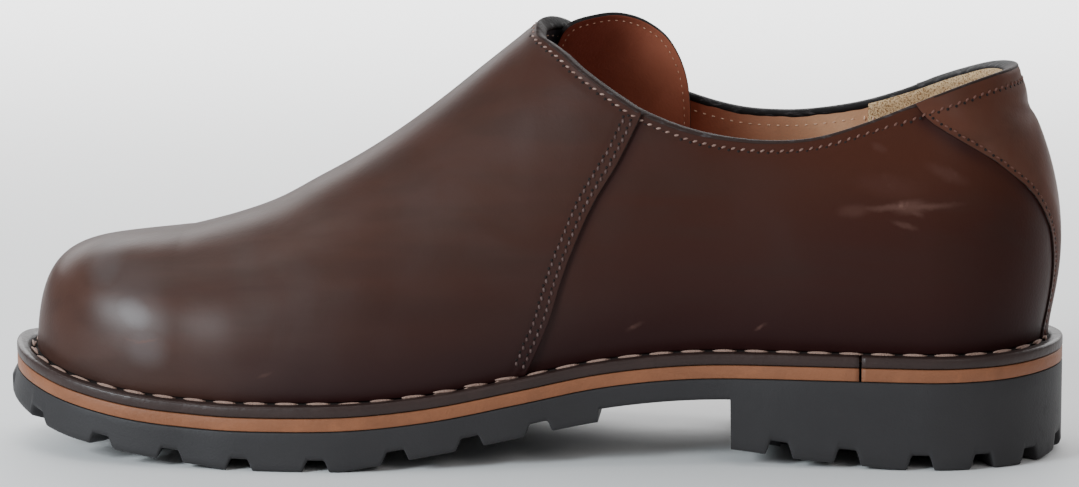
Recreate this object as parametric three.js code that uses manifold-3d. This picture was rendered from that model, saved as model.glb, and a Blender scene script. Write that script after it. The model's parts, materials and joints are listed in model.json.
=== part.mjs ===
// A low slip-on shoe for the right foot: a hollow leather upper on a stitched welt, a thin midsole
// and a lugged rubber outsole with its heel in one moulding. The toe points along -X, the inner
// (big toe) side faces -Y and the floor is z = 0. Lengths are in millimetres.
import * as THREE from "three";
import { mergeVertices } from "three/addons/utils/BufferGeometryUtils.js";
import Module from "manifold-3d";

const wasm = await Module();
wasm.setup();

// Driving dimensions
const LENGTH = 300; // outsole, toe to heel
const BALL_WIDTH = 108; // outsole across the ball of the foot
const UPPER_HEIGHT = 97; // top of the welt to the throat, at the instep
const FORE_SEAT = 18.4; // floor to the top of the welt under the ball
const HEEL_SEAT = 32; // floor to the top of the welt over the heel
const TOE_SPRING = 10; // extra lift of the sole at the toe tip
const HEEL_ROCK = 4.6; // lift of the heel's front edge off the floor
const WELT_MARGIN = 6; // welt that stands out past the upper
const WELT_THICK = 3.2;
const MIDSOLE_THICK = 3.4;
const JOINT_SLIT = 0.9; // butt joint of the welt and midsole strip
const WALL = 2.8; // leather and lining together
const LAP = 1.1; // step where the vamp laps over the quarters
const LAP_TAPER = 46; // length over which the vamp's extra thickness fades out
const COUNTER_THICK = 1.3; // back piece over the heel
const BACK_LIP = 2.4; // the top of the back stands out from the curve below it
const TONGUE_THICK = 2.4;
const INSOLE_RISE = 2.6; // insole above the top of the welt
const GAP = 0.3; // clearance between pieces that touch
const LUG_DEPTH = 3.3; // forefoot lugs
const HEEL_LUG_DEPTH = 4.2; // heel lugs
const WAIST_WEB = 11.6; // rubber, midsole and welt left under the arch at its front
const NOTCH_WIDTH = 6.2; // side notches between the lugs, at half depth
const NOTCH_DRAFT = 1.2; // each notch wall leans back this much over the lug depth
const NOTCH_REACH = 15; // how far a side notch runs in from the edge
const CHANNEL_WIDTH = 4.5; // groove between the edge lugs and the middle lugs
const TIP_FLARE = 1.5; // the toe lug stands out past the sole's edge by this much
const COLLAR_WIDTH = 66; // across the topline at its middle
const HALF_BALL = BALL_WIDTH / 2;
const DRAWN_RATIO = 25 / 9; // length over ball width in which the stations are drawn
const END_STRETCH = LENGTH / BALL_WIDTH / DRAWN_RATIO; // keeps toe and heel in step with the length

// Places along the shoe, as shares of the length from its middle
const TOE_AXIS = -1 / 3;
const HEEL_AXIS = 0.367;
const FORE_END = 0.066; // back of the forefoot tread
const BREAST = 0.189; // front face of the heel
const JOINT_AT = 0.309; // butt joint of the welt, inner side

// Stations round the edge, toe tip to heel tip. `turn` is the direction of the section in degrees,
// 0 at the toe tip and 180 at the heel tip. `inner` and `outer` are the sole's reach from the centre
// line on the two sides, as shares of half the ball width. `margin` is a share of WELT_MARGIN.
// The wall is one cubic curve from the welt to the crown: `swell` pushes its low handle out (share
// of half the ball width), `lift` sets that handle's height, `fall` drops the top handle below the
// crown (both shares of the local height), and `shoulder` is the top handle's share of the reach.
const STATIONS = [
  { at: TOE_AXIS, turn: 0, inner: 0.92, outer: 0.92, margin: 0.98, swell: -0.022, lift: 1.028, shoulder: 0.669, fall: 0.136 },
  { at: TOE_AXIS, turn: 22.5, inner: 0.916, outer: 0.925, margin: 1, swell: -0.01, lift: 1, shoulder: 0.68, fall: 0.125 },
  { at: TOE_AXIS, turn: 45, inner: 0.89, outer: 0.89, margin: 1.02, swell: 0.02, lift: 0.9, shoulder: 0.7, fall: 0.085 },
  { at: TOE_AXIS, turn: 67.5, inner: 0.855, outer: 0.88, margin: 1.03, swell: 0.055, lift: 0.76, shoulder: 0.725, fall: 0.04 },
  { at: TOE_AXIS, turn: 90, inner: 0.868, outer: 0.93, margin: 1.06, swell: 0.085, lift: 0.64, shoulder: 0.73, fall: 0 },
  { at: -0.267, turn: 90, inner: 0.954, outer: 0.985, margin: 1.06, swell: 0.085, lift: 0.57, shoulder: 0.66, fall: 0 },
  { at: -0.183, turn: 90, inner: 1, outer: 1, margin: 1.08, swell: 0.085, lift: 0.49, shoulder: 0.58, fall: 0 },
  { at: -0.1, turn: 90, inner: 0.943, outer: 0.981, margin: 1.08, swell: 0.085, lift: 0.45, shoulder: 0.55, fall: 0 },
  { at: -0.017, turn: 90, inner: 0.833, outer: 0.907, margin: 1.08, swell: 0.095, lift: 0.4, shoulder: 0.62, fall: 0 },
  { at: 0.067, turn: 90, inner: 0.731, outer: 0.815, margin: 1.05, swell: 0.13, lift: 0.33, shoulder: 0.88, fall: 0.025 },
  { at: 0.167, turn: 90, inner: 0.676, outer: 0.741, margin: 1.02, swell: 0.15, lift: 0.28, shoulder: 1.18, fall: 0.09 },
  { at: 0.267, turn: 90, inner: 0.71, outer: 0.722, margin: 0.99, swell: 0.135, lift: 0.275, shoulder: 1.12, fall: 0.115 },
  { at: HEEL_AXIS, turn: 90, inner: 0.737, outer: 0.731, margin: 0.97, swell: 0.12, lift: 0.275, shoulder: 1.08, fall: 0.16 },
  { at: HEEL_AXIS, turn: 120, inner: 0.736, outer: 0.732, margin: 0.96, swell: 0.09, lift: 0.24, shoulder: 1.2, fall: 0.28 },
  { at: HEEL_AXIS, turn: 150, inner: 0.738, outer: 0.735, margin: 0.96, swell: 0.035, lift: 0.16, shoulder: 1.44, fall: 0.46 },
  { at: HEEL_AXIS, turn: 180, inner: 0.742, outer: 0.742, margin: 0.96, swell: 0.003, lift: 0.118, shoulder: 1.547, fall: 0.533 },
];

// Centre line seen from above: `side` is a share of half the ball width, minus towards the inner side.
const CENTRE_LINE = [
  { at: -0.333, side: -0.055 },
  { at: -0.267, side: -0.03 },
  { at: -0.183, side: 0 },
  { at: -0.017, side: 0.018 },
  { at: 0.067, side: 0.018 },
  { at: 0.267, side: 0 },
  { at: 0.5, side: 0 },
];

// Top of the welt seen from the side: `climb` runs from the ball's height to the heel's, and `curl`
// is the share of the toe spring.
const SEAT_LINE = [
  { at: -0.51, climb: 0, curl: 1.28 },
  { at: -0.48, climb: 0, curl: 0.93 },
  { at: -0.43, climb: 0, curl: 0.51 },
  { at: -0.37, climb: 0, curl: 0.19 },
  { at: -0.3, climb: 0, curl: 0.02 },
  { at: -0.227, climb: 0, curl: 0 },
  { at: -0.15, climb: 0.05, curl: 0 },
  { at: -0.08, climb: 0.21, curl: 0 },
  { at: -0.007, climb: 0.49, curl: 0 },
  { at: 0.067, climb: 0.79, curl: 0 },
  { at: 0.14, climb: 0.955, curl: 0 },
  { at: 0.217, climb: 1, curl: 0 },
  { at: 0.43, climb: 1, curl: 0 },
  { at: 0.52, climb: 1.1, curl: 0 },
];

// Thickness of the whole sole under the forefoot, as a share of FORE_SEAT: above 1 it rests flat.
const FORE_TREAD = [
  { at: -0.51, thick: 0.84 },
  { at: -0.45, thick: 0.92 },
  { at: -0.38, thick: 0.91 },
  { at: -0.3, thick: 0.96 },
  { at: -0.26, thick: 1.02 },
  { at: -0.18, thick: 1.03 },
  { at: -0.15, thick: 0.985 },
  { at: -0.11, thick: 0.93 },
  { at: -0.05, thick: 0.91 },
  { at: 0.066, thick: 0.915 },
  { at: 0.2, thick: 0.92 },
];

// Lift of the heel's tread, as a share of HEEL_ROCK.
const HEEL_TREAD = [
  { at: 0.1, rock: 1.4 },
  { at: 0.189, rock: 1 },
  { at: 0.25, rock: 0.54 },
  { at: 0.3, rock: 0.27 },
  { at: 0.345, rock: 0 },
  { at: 0.472, rock: 0 },
  { at: 0.5, rock: 0.4 },
];

// Ridge of the instep, as a share of UPPER_HEIGHT above the welt. Past the throat it is the unseen
// top of the last, which the topline cuts away.
const CROWN_LINE = [
  { at: -0.333, rise: 0.435 },
  { at: -0.287, rise: 0.481 },
  { at: -0.247, rise: 0.528 },
  { at: -0.21, rise: 0.589 },
  { at: -0.17, rise: 0.654 },
  { at: -0.133, rise: 0.717 },
  { at: -0.093, rise: 0.789 },
  { at: -0.057, rise: 0.858 },
  { at: -0.017, rise: 0.934 },
  { at: 0.01, rise: 0.986 },
  { at: 0.067, rise: 1.066 },
  { at: 0.12, rise: 1.088 },
  { at: 0.4, rise: 1.094 },
];

// Topline, front to back: heights are shares of UPPER_HEIGHT above HEEL_SEAT, taken at half the
// collar's width on the two sides. It runs straight across between them.
const TOPLINE = [
  { at: -0.02, inner: 0.91, outer: 1.03 },
  { at: 0, inner: 0.82, outer: 1.005 },
  { at: 0.0143, inner: 0.822, outer: 0.965 },
  { at: 0.0283, inner: 0.814, outer: 0.92 },
  { at: 0.0433, inner: 0.789, outer: 0.865 },
  { at: 0.0733, inner: 0.734, outer: 0.787 },
  { at: 0.1033, inner: 0.681, outer: 0.72 },
  { at: 0.1467, inner: 0.634, outer: 0.663 },
  { at: 0.19, inner: 0.612, outer: 0.628 },
  { at: 0.2333, inner: 0.608, outer: 0.62 },
  { at: 0.27, inner: 0.622, outer: 0.629 },
  { at: 0.3133, inner: 0.664, outer: 0.654 },
  { at: 0.36, inner: 0.72, outer: 0.7 },
  { at: 0.4033, inner: 0.768, outer: 0.75 },
  { at: 0.44, inner: 0.796, outer: 0.788 },
  { at: 0.48, inner: 0.804, outer: 0.8 },
  { at: 0.54, inner: 0.804, outer: 0.8 },
];

// Back edge of the vamp, where it laps over the quarters.
const VAMP_SEAM = [
  { at: -0.012, high: -0.13 },
  { at: 0.006, high: -0.01 },
  { at: 0.02, high: 0.095 },
  { at: 0.03, high: 0.2 },
  { at: 0.044, high: 0.316 },
  { at: 0.0607, high: 0.429 },
  { at: 0.082, high: 0.539 },
  { at: 0.1007, high: 0.656 },
  { at: 0.118, high: 0.78 },
];

// Front edge of the back piece, from above the topline down to the welt.
const COUNTER_SEAM = [
  { at: 0.337, high: 0.78 },
  { at: 0.3613, high: 0.678 },
  { at: 0.3953, high: 0.612 },
  { at: 0.4293, high: 0.548 },
  { at: 0.4603, high: 0.465 },
  { at: 0.481, high: 0.355 },
  { at: 0.487, high: 0.26 },
  { at: 0.4868, high: 0.18 },
  { at: 0.4835, high: 0.1 },
  { at: 0.479, high: 0.03 },
  { at: 0.475, high: -0.06 },
];

// Outline of the tongue's tab, seen from the side, front foot round the top to the back foot.
const TONGUE_OUTLINE = [
  { at: -0.02, high: 0.6 },
  { at: 0.017, high: 0.835 },
  { at: 0.03, high: 0.896 },
  { at: 0.0567, high: 0.919 },
  { at: 0.077, high: 0.921 },
  { at: 0.1, high: 0.897 },
  { at: 0.122, high: 0.84 },
  { at: 0.137, high: 0.74 },
  { at: 0.142, high: 0.62 },
  { at: 0.14, high: 0.46 },
];

// How finely the curved forms are cut into flat faces
const TOE_STEPS = 10;
const SIDE_STEPS = 16;
const HEEL_STEPS = 9;
const WALL_LEVELS = 11;
const INNER_LEVELS = 7;

// A smooth curve through a table's rows: the value of `column` where `key` equals `place`.
function curve(rows, key, column, place) {
  const last = rows.length - 1;
  let i = 0;
  while (i < last - 1 && place > rows[i + 1][key]) i += 1;
  const slope = (a, b) => (rows[b][column] - rows[a][column]) / (rows[b][key] - rows[a][key]);
  const tangent = (k) => slope(Math.max(k - 1, 0), Math.min(k + 1, last));
  const span = rows[i + 1][key] - rows[i][key];
  const u = THREE.MathUtils.clamp((place - rows[i][key]) / span, 0, 1);
  const uu = u * u;
  const uuu = uu * u;
  return (
    rows[i][column] * (2 * uuu - 3 * uu + 1) +
    rows[i + 1][column] * (3 * uu - 2 * uuu) +
    tangent(i) * span * (uuu - 2 * uu + u) +
    tangent(i + 1) * span * (uuu - uu)
  );
}

// Heights of the sole's layers above the floor, at a length x
const share = (x) => x / LENGTH;
const centreY = (x) => HALF_BALL * curve(CENTRE_LINE, "at", "side", share(x));
function seatZ(x) {
  const climb = curve(SEAT_LINE, "at", "climb", share(x));
  const curl = curve(SEAT_LINE, "at", "curl", share(x));
  return FORE_SEAT + (HEEL_SEAT - FORE_SEAT) * climb + TOE_SPRING * curl;
}
const crownZ = (x) => seatZ(x) + UPPER_HEIGHT * curve(CROWN_LINE, "at", "rise", share(x));
const weltUnderZ = (x) => seatZ(x) - WELT_THICK;
const midsoleTopZ = (x) => weltUnderZ(x) - GAP;
const midsoleUnderZ = (x) => midsoleTopZ(x) - MIDSOLE_THICK;
const outsoleTopZ = (x) => midsoleUnderZ(x) - GAP;
const foreTreadZ = (x) => Math.max(0, seatZ(x) - FORE_SEAT * curve(FORE_TREAD, "at", "thick", share(x)));
const heelTreadZ = (x) => Math.max(0, HEEL_ROCK * curve(HEEL_TREAD, "at", "rock", share(x)));
const treadZ = (x) => (share(x) < (FORE_END + BREAST) / 2 ? foreTreadZ(x) : heelTreadZ(x));
const waistZ = (x) => seatZ(x) - WAIST_WEB - WELT_THICK * 0.5;

// The loop round the shoe: half a turn about the toe axis, the two sides, half a turn about the heel
// axis. A place on it is its distance from the toe tip, run down the outer side and back up the inner.
const TOE_X = TOE_AXIS * LENGTH;
const HEEL_X = HEEL_AXIS * LENGTH;
const FAN_RADIUS = HALF_BALL * 0.85;
const FAN_LENGTH = (FAN_RADIUS * Math.PI) / 2;
const HALF_LOOP = 2 * FAN_LENGTH + HEEL_X - TOE_X;

function rib(place) {
  const inner = place > HALF_LOOP;
  const along = inner ? 2 * HALF_LOOP - place : place;
  const x = THREE.MathUtils.clamp(TOE_X + along - FAN_LENGTH, TOE_X, HEEL_X);
  let turn = 90;
  if (along < FAN_LENGTH) turn = (90 * along) / FAN_LENGTH;
  if (along > HALF_LOOP - FAN_LENGTH) turn = 180 - (90 * (HALF_LOOP - along)) / FAN_LENGTH;
  const angle = THREE.MathUtils.degToRad(turn);
  const side = inner ? -1 : 1;
  return { x, y: centreY(x), outX: -END_STRETCH * Math.cos(angle), outY: side * Math.sin(angle) };
}

// The stations laid out round the whole loop, with three rows repeated so that the curve closes
const loopRows = [];
const stationPlace = (row) =>
  (row.turn < 90 ? row.turn : 90) * (FAN_LENGTH / 90) +
  (row.at * LENGTH - TOE_X) +
  (row.turn > 90 ? row.turn - 90 : 0) * (FAN_LENGTH / 90);
for (const row of STATIONS) loopRows.push({ ...row, reach: row.outer, place: stationPlace(row) });
for (const row of STATIONS.slice(1, -1).reverse())
  loopRows.push({ ...row, reach: row.inner, place: 2 * HALF_LOOP - stationPlace(row) });
const WRAP = 3;
const closed = [
  ...loopRows.slice(-WRAP).map((row) => ({ ...row, place: row.place - 2 * HALF_LOOP })),
  ...loopRows,
  ...loopRows.slice(0, WRAP).map((row) => ({ ...row, place: row.place + 2 * HALF_LOOP })),
];
const shape = (column, place) => curve(closed, "place", column, place);

const soleReach = (place) => HALF_BALL * shape("reach", place);
const footReach = (place) => soleReach(place) - WELT_MARGIN * shape("margin", place);
const insideReach = (place) => footReach(place) - WALL - GAP;
const treadReach = (place) => soleReach(place) + TIP_FLARE * Math.max(0, -rib(place).outX) ** 4;

// The back stands straighter just under the topline: how far it leaves the curve below
function backLip(place, z) {
  const turn = THREE.MathUtils.smoothstep(rib(place).outX / END_STRETCH, 0.4, 0.95);
  const over = (z - HEEL_SEAT) / UPPER_HEIGHT;
  const rise = THREE.MathUtils.smoothstep(over, 0.66, 0.82);
  return BACK_LIP * turn * rise * (1 - THREE.MathUtils.smoothstep(over, 0.9, 1.05));
}

// A point of the plan, `reach` out from the centre line
function planPoint(place, reach) {
  const r = rib(place);
  return new THREE.Vector2(r.x + r.outX * reach, r.y + r.outY * reach);
}

// The wall of the last, from the welt (t = 0) to the crown (t = 1)
function wallPoint(place, t) {
  const r = rib(place);
  const foot = footReach(place);
  const footZ = seatZ(r.x + r.outX * foot);
  const topZ = crownZ(r.x);
  const tall = topZ - footZ;
  const handles = new THREE.CubicBezierCurve(
    new THREE.Vector2(foot, footZ),
    new THREE.Vector2(foot + HALF_BALL * shape("swell", place), footZ + tall * shape("lift", place)),
    new THREE.Vector2(foot * shape("shoulder", place), topZ - tall * shape("fall", place)),
    new THREE.Vector2(0, topZ),
  );
  const p = handles.getPoint(t);
  const reach = p.x + backLip(place, p.y);
  return new THREE.Vector3(r.x + r.outX * reach, r.y + r.outY * reach, p.y);
}

// The outward normal of that wall; on the crown it lies in the plane of the ridge
const TINY = 0.01;
function wallNormal(place, t) {
  if (t > 1 - TINY) {
    const x = rib(place).x;
    return new THREE.Vector3(crownZ(x - 1) - crownZ(x + 1), 0, 2).normalize();
  }
  const round = wallPoint(place + TINY * 10, t).sub(wallPoint(place - TINY * 10, t));
  const up = wallPoint(place, t + TINY).sub(wallPoint(place, Math.max(t - TINY, 0)));
  return round.cross(up).normalize().negate();
}

// The extra thickness of the vamp: full at its back edge, fading out towards the toe
const MIN_LAP = 0.06;
function vampExtra(point) {
  const behind = LENGTH * VAMP_SEAM[VAMP_SEAM.length - 1].at;
  const u = THREE.MathUtils.smoothstep(point.x, behind - LAP_TAPER * 2, behind - LAP_TAPER);
  return MIN_LAP + (LAP - MIN_LAP) * u;
}

function skinPoint(place, t, offset) {
  const p = wallPoint(place, t);
  const distance = typeof offset === "function" ? offset(p) : offset;
  return p.addScaledVector(wallNormal(place, t), distance);
}

// The places round the loop where forms are cut into faces; both sides share their x
const halfPlaces = [];
for (let i = 0; i <= TOE_STEPS; i += 1) halfPlaces.push((FAN_LENGTH * i) / TOE_STEPS);
for (let i = 1; i <= SIDE_STEPS; i += 1)
  halfPlaces.push(FAN_LENGTH + ((HEEL_X - TOE_X) * i) / SIDE_STEPS);
for (let i = 1; i <= HEEL_STEPS; i += 1)
  halfPlaces.push(HALF_LOOP - FAN_LENGTH + (FAN_LENGTH * i) / HEEL_STEPS);
const PLACES = [
  ...halfPlaces,
  ...halfPlaces
    .slice(1, -1)
    .reverse()
    .map((place) => 2 * HALF_LOOP - place),
];

// A solid from a stack of closed loops. With `ring`, the last loop joins the first; otherwise the
// first and last loops lie on the centre line, where their two sides meet and close the body.
function loftSolid(loops, ring = false) {
  const count = loops[0].length;
  const positions = [];
  const bands = ring ? loops.length : loops.length - 1;
  for (let k = 0; k < bands; k += 1) {
    const low = loops[k];
    const high = loops[(k + 1) % loops.length];
    for (let i = 0; i < count; i += 1) {
      const j = (i + 1) % count;
      for (const p of [low[i], high[j], low[j], low[i], high[i], high[j]]) positions.push(p.x, p.y, p.z);
    }
  }
  return solidFromTriangles(positions);
}

function solidFromTriangles(positions) {
  const loose = new THREE.BufferGeometry();
  loose.setAttribute("position", new THREE.Float32BufferAttribute(positions, 3));
  const merged = mergeVertices(loose, 1e-3);
  const index = merged.index.array;
  const kept = [];
  for (let i = 0; i < index.length; i += 3) {
    const [a, b, c] = [index[i], index[i + 1], index[i + 2]];
    if (a !== b && b !== c && c !== a) kept.push(a, b, c);
  }
  const build = (triangles) =>
    new wasm.Manifold(
      new wasm.Mesh({
        numProp: 3,
        vertProperties: new Float32Array(merged.attributes.position.array),
        triVerts: new Uint32Array(triangles),
      }),
    );
  const made = build(kept);
  if (made.volume() > 0) return made;
  const turned = [];
  for (let i = 0; i < kept.length; i += 3) turned.push(kept[i], kept[i + 2], kept[i + 1]);
  return build(turned);
}

const solidFromGeometry = (geometry) => {
  const plain = geometry.index ? geometry.toNonIndexed() : geometry;
  return solidFromTriangles(Array.from(plain.attributes.position.array));
};

const loopAt = (reachOf, heightOf) =>
  PLACES.map((place) => {
    const p = planPoint(place, reachOf(place));
    return new THREE.Vector3(p.x, p.y, heightOf(p.x));
  });

// Rings shared by every layer of the sole, so that stacked faces run parallel
const RINGS = [() => 0, (place) => insideReach(place) * 0.5, footReach, soleReach];

// A plate that fills the outline out to its last ring, between two heights
function plateSolid(rings, topOf, underOf, underRings = rings) {
  const top = rings.map((reachOf) => loopAt(reachOf, topOf));
  const under = underRings.map((reachOf) => loopAt(reachOf, underOf)).reverse();
  return loftSolid([...top, ...under]);
}

// A form of the last, grown by `offset`, run down past the welt for later trimming
const RUN_DOWN = 9;
function lastForm(offset, count = WALL_LEVELS) {
  const levels = [];
  for (let k = 0; k <= count; k += 1)
    levels.push(PLACES.map((place) => skinPoint(place, k / count, offset)));
  const foot = levels[0].map((p) => p.clone().setZ(p.z - RUN_DOWN));
  const under = loopAt(
    () => 0,
    (x) => seatZ(x) - RUN_DOWN,
  );
  return loftSolid([under, foot, ...levels]);
}

// A block over the area inside a side-view outline, from y = near to y = far
function sideBlock(points, near, far) {
  const outline = new THREE.Shape(points.map((p) => new THREE.Vector2(p.x, p.z)));
  const block = new THREE.ExtrudeGeometry(outline, { depth: far - near, bevelEnabled: false });
  block.rotateX(Math.PI / 2).translate(0, far, 0);
  return solidFromGeometry(block);
}

// A table of side-view places as real points, with a smooth curve through them
const SEAM_STEPS = 2;
const ACROSS_STEPS = 5;
function sideCurve(rows) {
  const points = rows.map(
    (row) => new THREE.Vector3(row.at * LENGTH, 0, HEEL_SEAT + row.high * UPPER_HEIGHT),
  );
  return new THREE.CatmullRomCurve3(points).getPoints((rows.length - 1) * SEAM_STEPS);
}

const FAR_OUT = 2 * LENGTH; // well clear of the shoe
// Everything above the topline: a stack of upright sections, each closed to a point at the ends
function makeAboveTopline() {
  const sections = [];
  const last = TOPLINE.length - 1;
  for (let k = 0; k <= last * SEAM_STEPS; k += 1) {
    const i = Math.min(Math.floor(k / SEAM_STEPS), last - 1);
    const at = THREE.MathUtils.lerp(TOPLINE[i].at, TOPLINE[i + 1].at, k / SEAM_STEPS - i);
    const inner = curve(TOPLINE, "at", "inner", at);
    const outer = curve(TOPLINE, "at", "outer", at);
    const tilt = (UPPER_HEIGHT * (outer - inner)) / COLLAR_WIDTH;
    const middle = HEEL_SEAT + (UPPER_HEIGHT * (inner + outer)) / 2;
    const x = at * LENGTH;
    const section = [new THREE.Vector3(x, HALF_BALL, FAR_OUT), new THREE.Vector3(x, -HALF_BALL, FAR_OUT)];
    for (let j = -ACROSS_STEPS; j <= ACROSS_STEPS; j += 1) {
      const y = (HALF_BALL * j) / ACROSS_STEPS;
      section.push(new THREE.Vector3(x, y, middle + tilt * y));
    }
    sections.push(section);
  }
  const toPoint = (section) => section.map(() => new THREE.Vector3(section[0].x, 0, FAR_OUT / 2));
  return loftSolid([toPoint(sections[0]), ...sections, toPoint(sections[sections.length - 1])]);
}
const aboveTopline = makeAboveTopline();
// Everything under the top of the welt, grown by the clearance that the upper keeps to it
const trimRings = [...RINGS, (place) => soleReach(place) + WELT_MARGIN];
const underWelt = plateSolid(
  trimRings,
  (x) => seatZ(x) + GAP,
  () => -FAR_OUT,
);

// All that lies in front of the vamp's back seam, or in front of a line `behind` millimetres past it
function inFrontOfSeam(behind) {
  const seam = sideCurve(VAMP_SEAM).map((p) => p.setX(p.x + behind));
  return sideBlock(
    [
      ...seam,
      new THREE.Vector3(seam[seam.length - 1].x, 0, FAR_OUT),
      new THREE.Vector3(-FAR_OUT, 0, FAR_OUT),
      new THREE.Vector3(-FAR_OUT, 0, -FAR_OUT),
      new THREE.Vector3(seam[0].x, 0, -FAR_OUT),
    ],
    -BALL_WIDTH,
    BALL_WIDTH,
  );
}

// Vamp and quarters: a form of the last, hollowed out and trimmed at the topline and the welt
const hollowOut = (form) =>
  form.subtract(lastForm(-WALL, INNER_LEVELS)).subtract(aboveTopline).subtract(underWelt);
// The vamp's back edge stands out over the quarters by the lap, and the two meet behind it
const makeVamp = () => hollowOut(lastForm(vampExtra).intersect(inFrontOfSeam(0)));
const makeQuarters = () => hollowOut(lastForm(0).subtract(inFrontOfSeam(GAP)));

// Back piece: a thin skin over the heel of the upper, behind its two seams
function makeCounter() {
  const seam = sideCurve(COUNTER_SEAM);
  const behindSeam = sideBlock(
    [
      ...seam,
      new THREE.Vector3(FAR_OUT, 0, seam[seam.length - 1].z),
      new THREE.Vector3(FAR_OUT, 0, FAR_OUT),
      new THREE.Vector3(seam[0].x, 0, FAR_OUT),
    ],
    -BALL_WIDTH,
    BALL_WIDTH,
  );
  return lastForm(GAP + COUNTER_THICK)
    .subtract(lastForm(GAP))
    .intersect(behindSeam)
    .subtract(aboveTopline)
    .subtract(underWelt);
}

// Tongue: a curved tab inside the outer side of the throat, following the last past the topline
function makeTongue() {
  const outline = sideBlock(sideCurve(TONGUE_OUTLINE), centreY(0) + GAP, BALL_WIDTH);
  const outside = lastForm(-WALL - GAP, INNER_LEVELS);
  const inside = lastForm(-WALL - GAP - TONGUE_THICK, INNER_LEVELS);
  return outside.subtract(inside).intersect(outline);
}

// Insole: it rests on the midsole inside the welt and rises a little above it
const makeInsole = () =>
  plateSolid(
    [RINGS[0], RINGS[1], (place) => insideReach(place) - GAP],
    (x) => seatZ(x) + INSOLE_RISE,
    (x) => midsoleTopZ(x) + GAP,
  );

// The butt joint on the inner side: a narrow block through the edge, from `reachIn` outwards
function jointSlit(reachIn) {
  const x = JOINT_AT * LENGTH;
  const y = centreY(x) - soleReach(2 * HALF_LOOP - (x - TOE_X + FAN_LENGTH));
  const block = new THREE.BoxGeometry(JOINT_SLIT, reachIn + WELT_MARGIN, HEEL_SEAT);
  block.translate(x, y + (reachIn - WELT_MARGIN) / 2, HEEL_SEAT);
  return solidFromGeometry(block);
}

// Welt: a strip round the foot of the upper, its ends meeting at the joint
function makeWelt() {
  const ring = loftSolid(
    [
      loopAt(insideReach, seatZ),
      loopAt(footReach, seatZ),
      loopAt(soleReach, seatZ),
      loopAt(soleReach, weltUnderZ),
      loopAt(footReach, weltUnderZ),
      loopAt(insideReach, weltUnderZ),
    ],
    true,
  );
  return ring.subtract(jointSlit(WELT_MARGIN + WALL + WELT_MARGIN));
}

// Midsole: a full plate whose edge strip is butted at the same place
const makeMidsole = () =>
  plateSolid(RINGS, midsoleTopZ, midsoleUnderZ).subtract(jointSlit(WELT_MARGIN));

// A block cut into the tread, standing on a plan place and pointing along `out`. Its roof follows
// the tread at the given depth and its two long walls lean back by the draft.
function treadCut(centre, out, from, to, width, depth, draft) {
  const across = new THREE.Vector2(-out.y, out.x);
  const corner = (a, b, c) => {
    const p = centre.clone().addScaledVector(across, a).addScaledVector(out, b);
    return new THREE.Vector3(p.x, p.y, treadZ(p.x) + c);
  };
  const BELOW = 4;
  const section = (b) => {
    const low = width / 2 + draft * (1 + (2 * BELOW) / depth) * 0.5;
    const high = width / 2 - draft / 2;
    return [corner(-low, b, -BELOW), corner(low, b, -BELOW), corner(high, b, depth), corner(-high, b, depth)];
  };
  const [a, b] = [section(from), section(to)];
  const faces = [
    [a[0], a[1], a[2], a[3]],
    [b[3], b[2], b[1], b[0]],
    ...[0, 1, 2, 3].map((i) => [a[(i + 1) % 4], a[i], b[i], b[(i + 1) % 4]]),
  ];
  const positions = [];
  for (const [p, q, r, s] of faces)
    for (const v of [p, q, r, p, r, s]) positions.push(v.x, v.y, v.z);
  return solidFromTriangles(positions);
}

// A side notch through the edge at a place of the loop
function edgeNotch(place, depth) {
  const r = rib(place);
  const out = new THREE.Vector2(r.outX, r.outY).normalize();
  const edge = planPoint(place, soleReach(place));
  return treadCut(edge, out, -NOTCH_REACH, WELT_MARGIN, NOTCH_WIDTH, depth, NOTCH_DRAFT);
}

// Places of the side notches: shares of the length along the sides, degrees round the toe and heel
const FORE_NOTCHES = [-0.331, -0.265, -0.193, -0.12, -0.052, 0.011];
const TOE_NOTCHES = { inner: [8, 36.5, 65], outer: [20.5, 45, 69] };
const HEEL_NOTCHES = [0.2345, 0.298, 0.3655];
const HEEL_NOTCH_TURNS = [115.5, 140, 165];

const bothSides = (along) => [along, 2 * HALF_LOOP - along];
const sidePlace = (at) => at * LENGTH - TOE_X + FAN_LENGTH;
const toePlace = (turn) => (FAN_LENGTH * turn) / 90;
const heelPlace = (turn) => HALF_LOOP - (FAN_LENGTH * (180 - turn)) / 90;

const CHANNEL_STEP = 15;

// The groove that runs round inside the edge lugs, between two places of one side
function channel(from, to, side, depth) {
  const steps = Math.max(2, Math.round(Math.abs(to - from) / CHANNEL_STEP));
  const cuts = [];
  const reachIn = (place) => soleReach(place) - NOTCH_REACH - CHANNEL_WIDTH / 2;
  const at = (k) => {
    const along = from + ((to - from) * k) / steps;
    const place = side > 0 ? along : 2 * HALF_LOOP - along;
    return planPoint(place, reachIn(place));
  };
  for (let k = 0; k < steps; k += 1) {
    const [a, b] = [at(k), at(k + 1)];
    const out = b.clone().sub(a);
    const half = out.length() / 2;
    const centre = a.clone().add(b).multiplyScalar(0.5);
    out.normalize();
    cuts.push(treadCut(centre, out, -half - 0.8, half + 0.8, CHANNEL_WIDTH, depth, NOTCH_DRAFT / 2));
  }
  return cuts;
}

// A groove straight across the middle lugs, half a pitch from the side notches
function middleCut(at, depth) {
  const x = at * LENGTH;
  const reach = Math.min(...bothSides(sidePlace(at)).map(soleReach)) - NOTCH_REACH;
  const centre = new THREE.Vector2(x, centreY(x));
  return treadCut(centre, new THREE.Vector2(0, 1), -reach, reach, CHANNEL_WIDTH, depth, NOTCH_DRAFT / 2);
}

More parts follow.
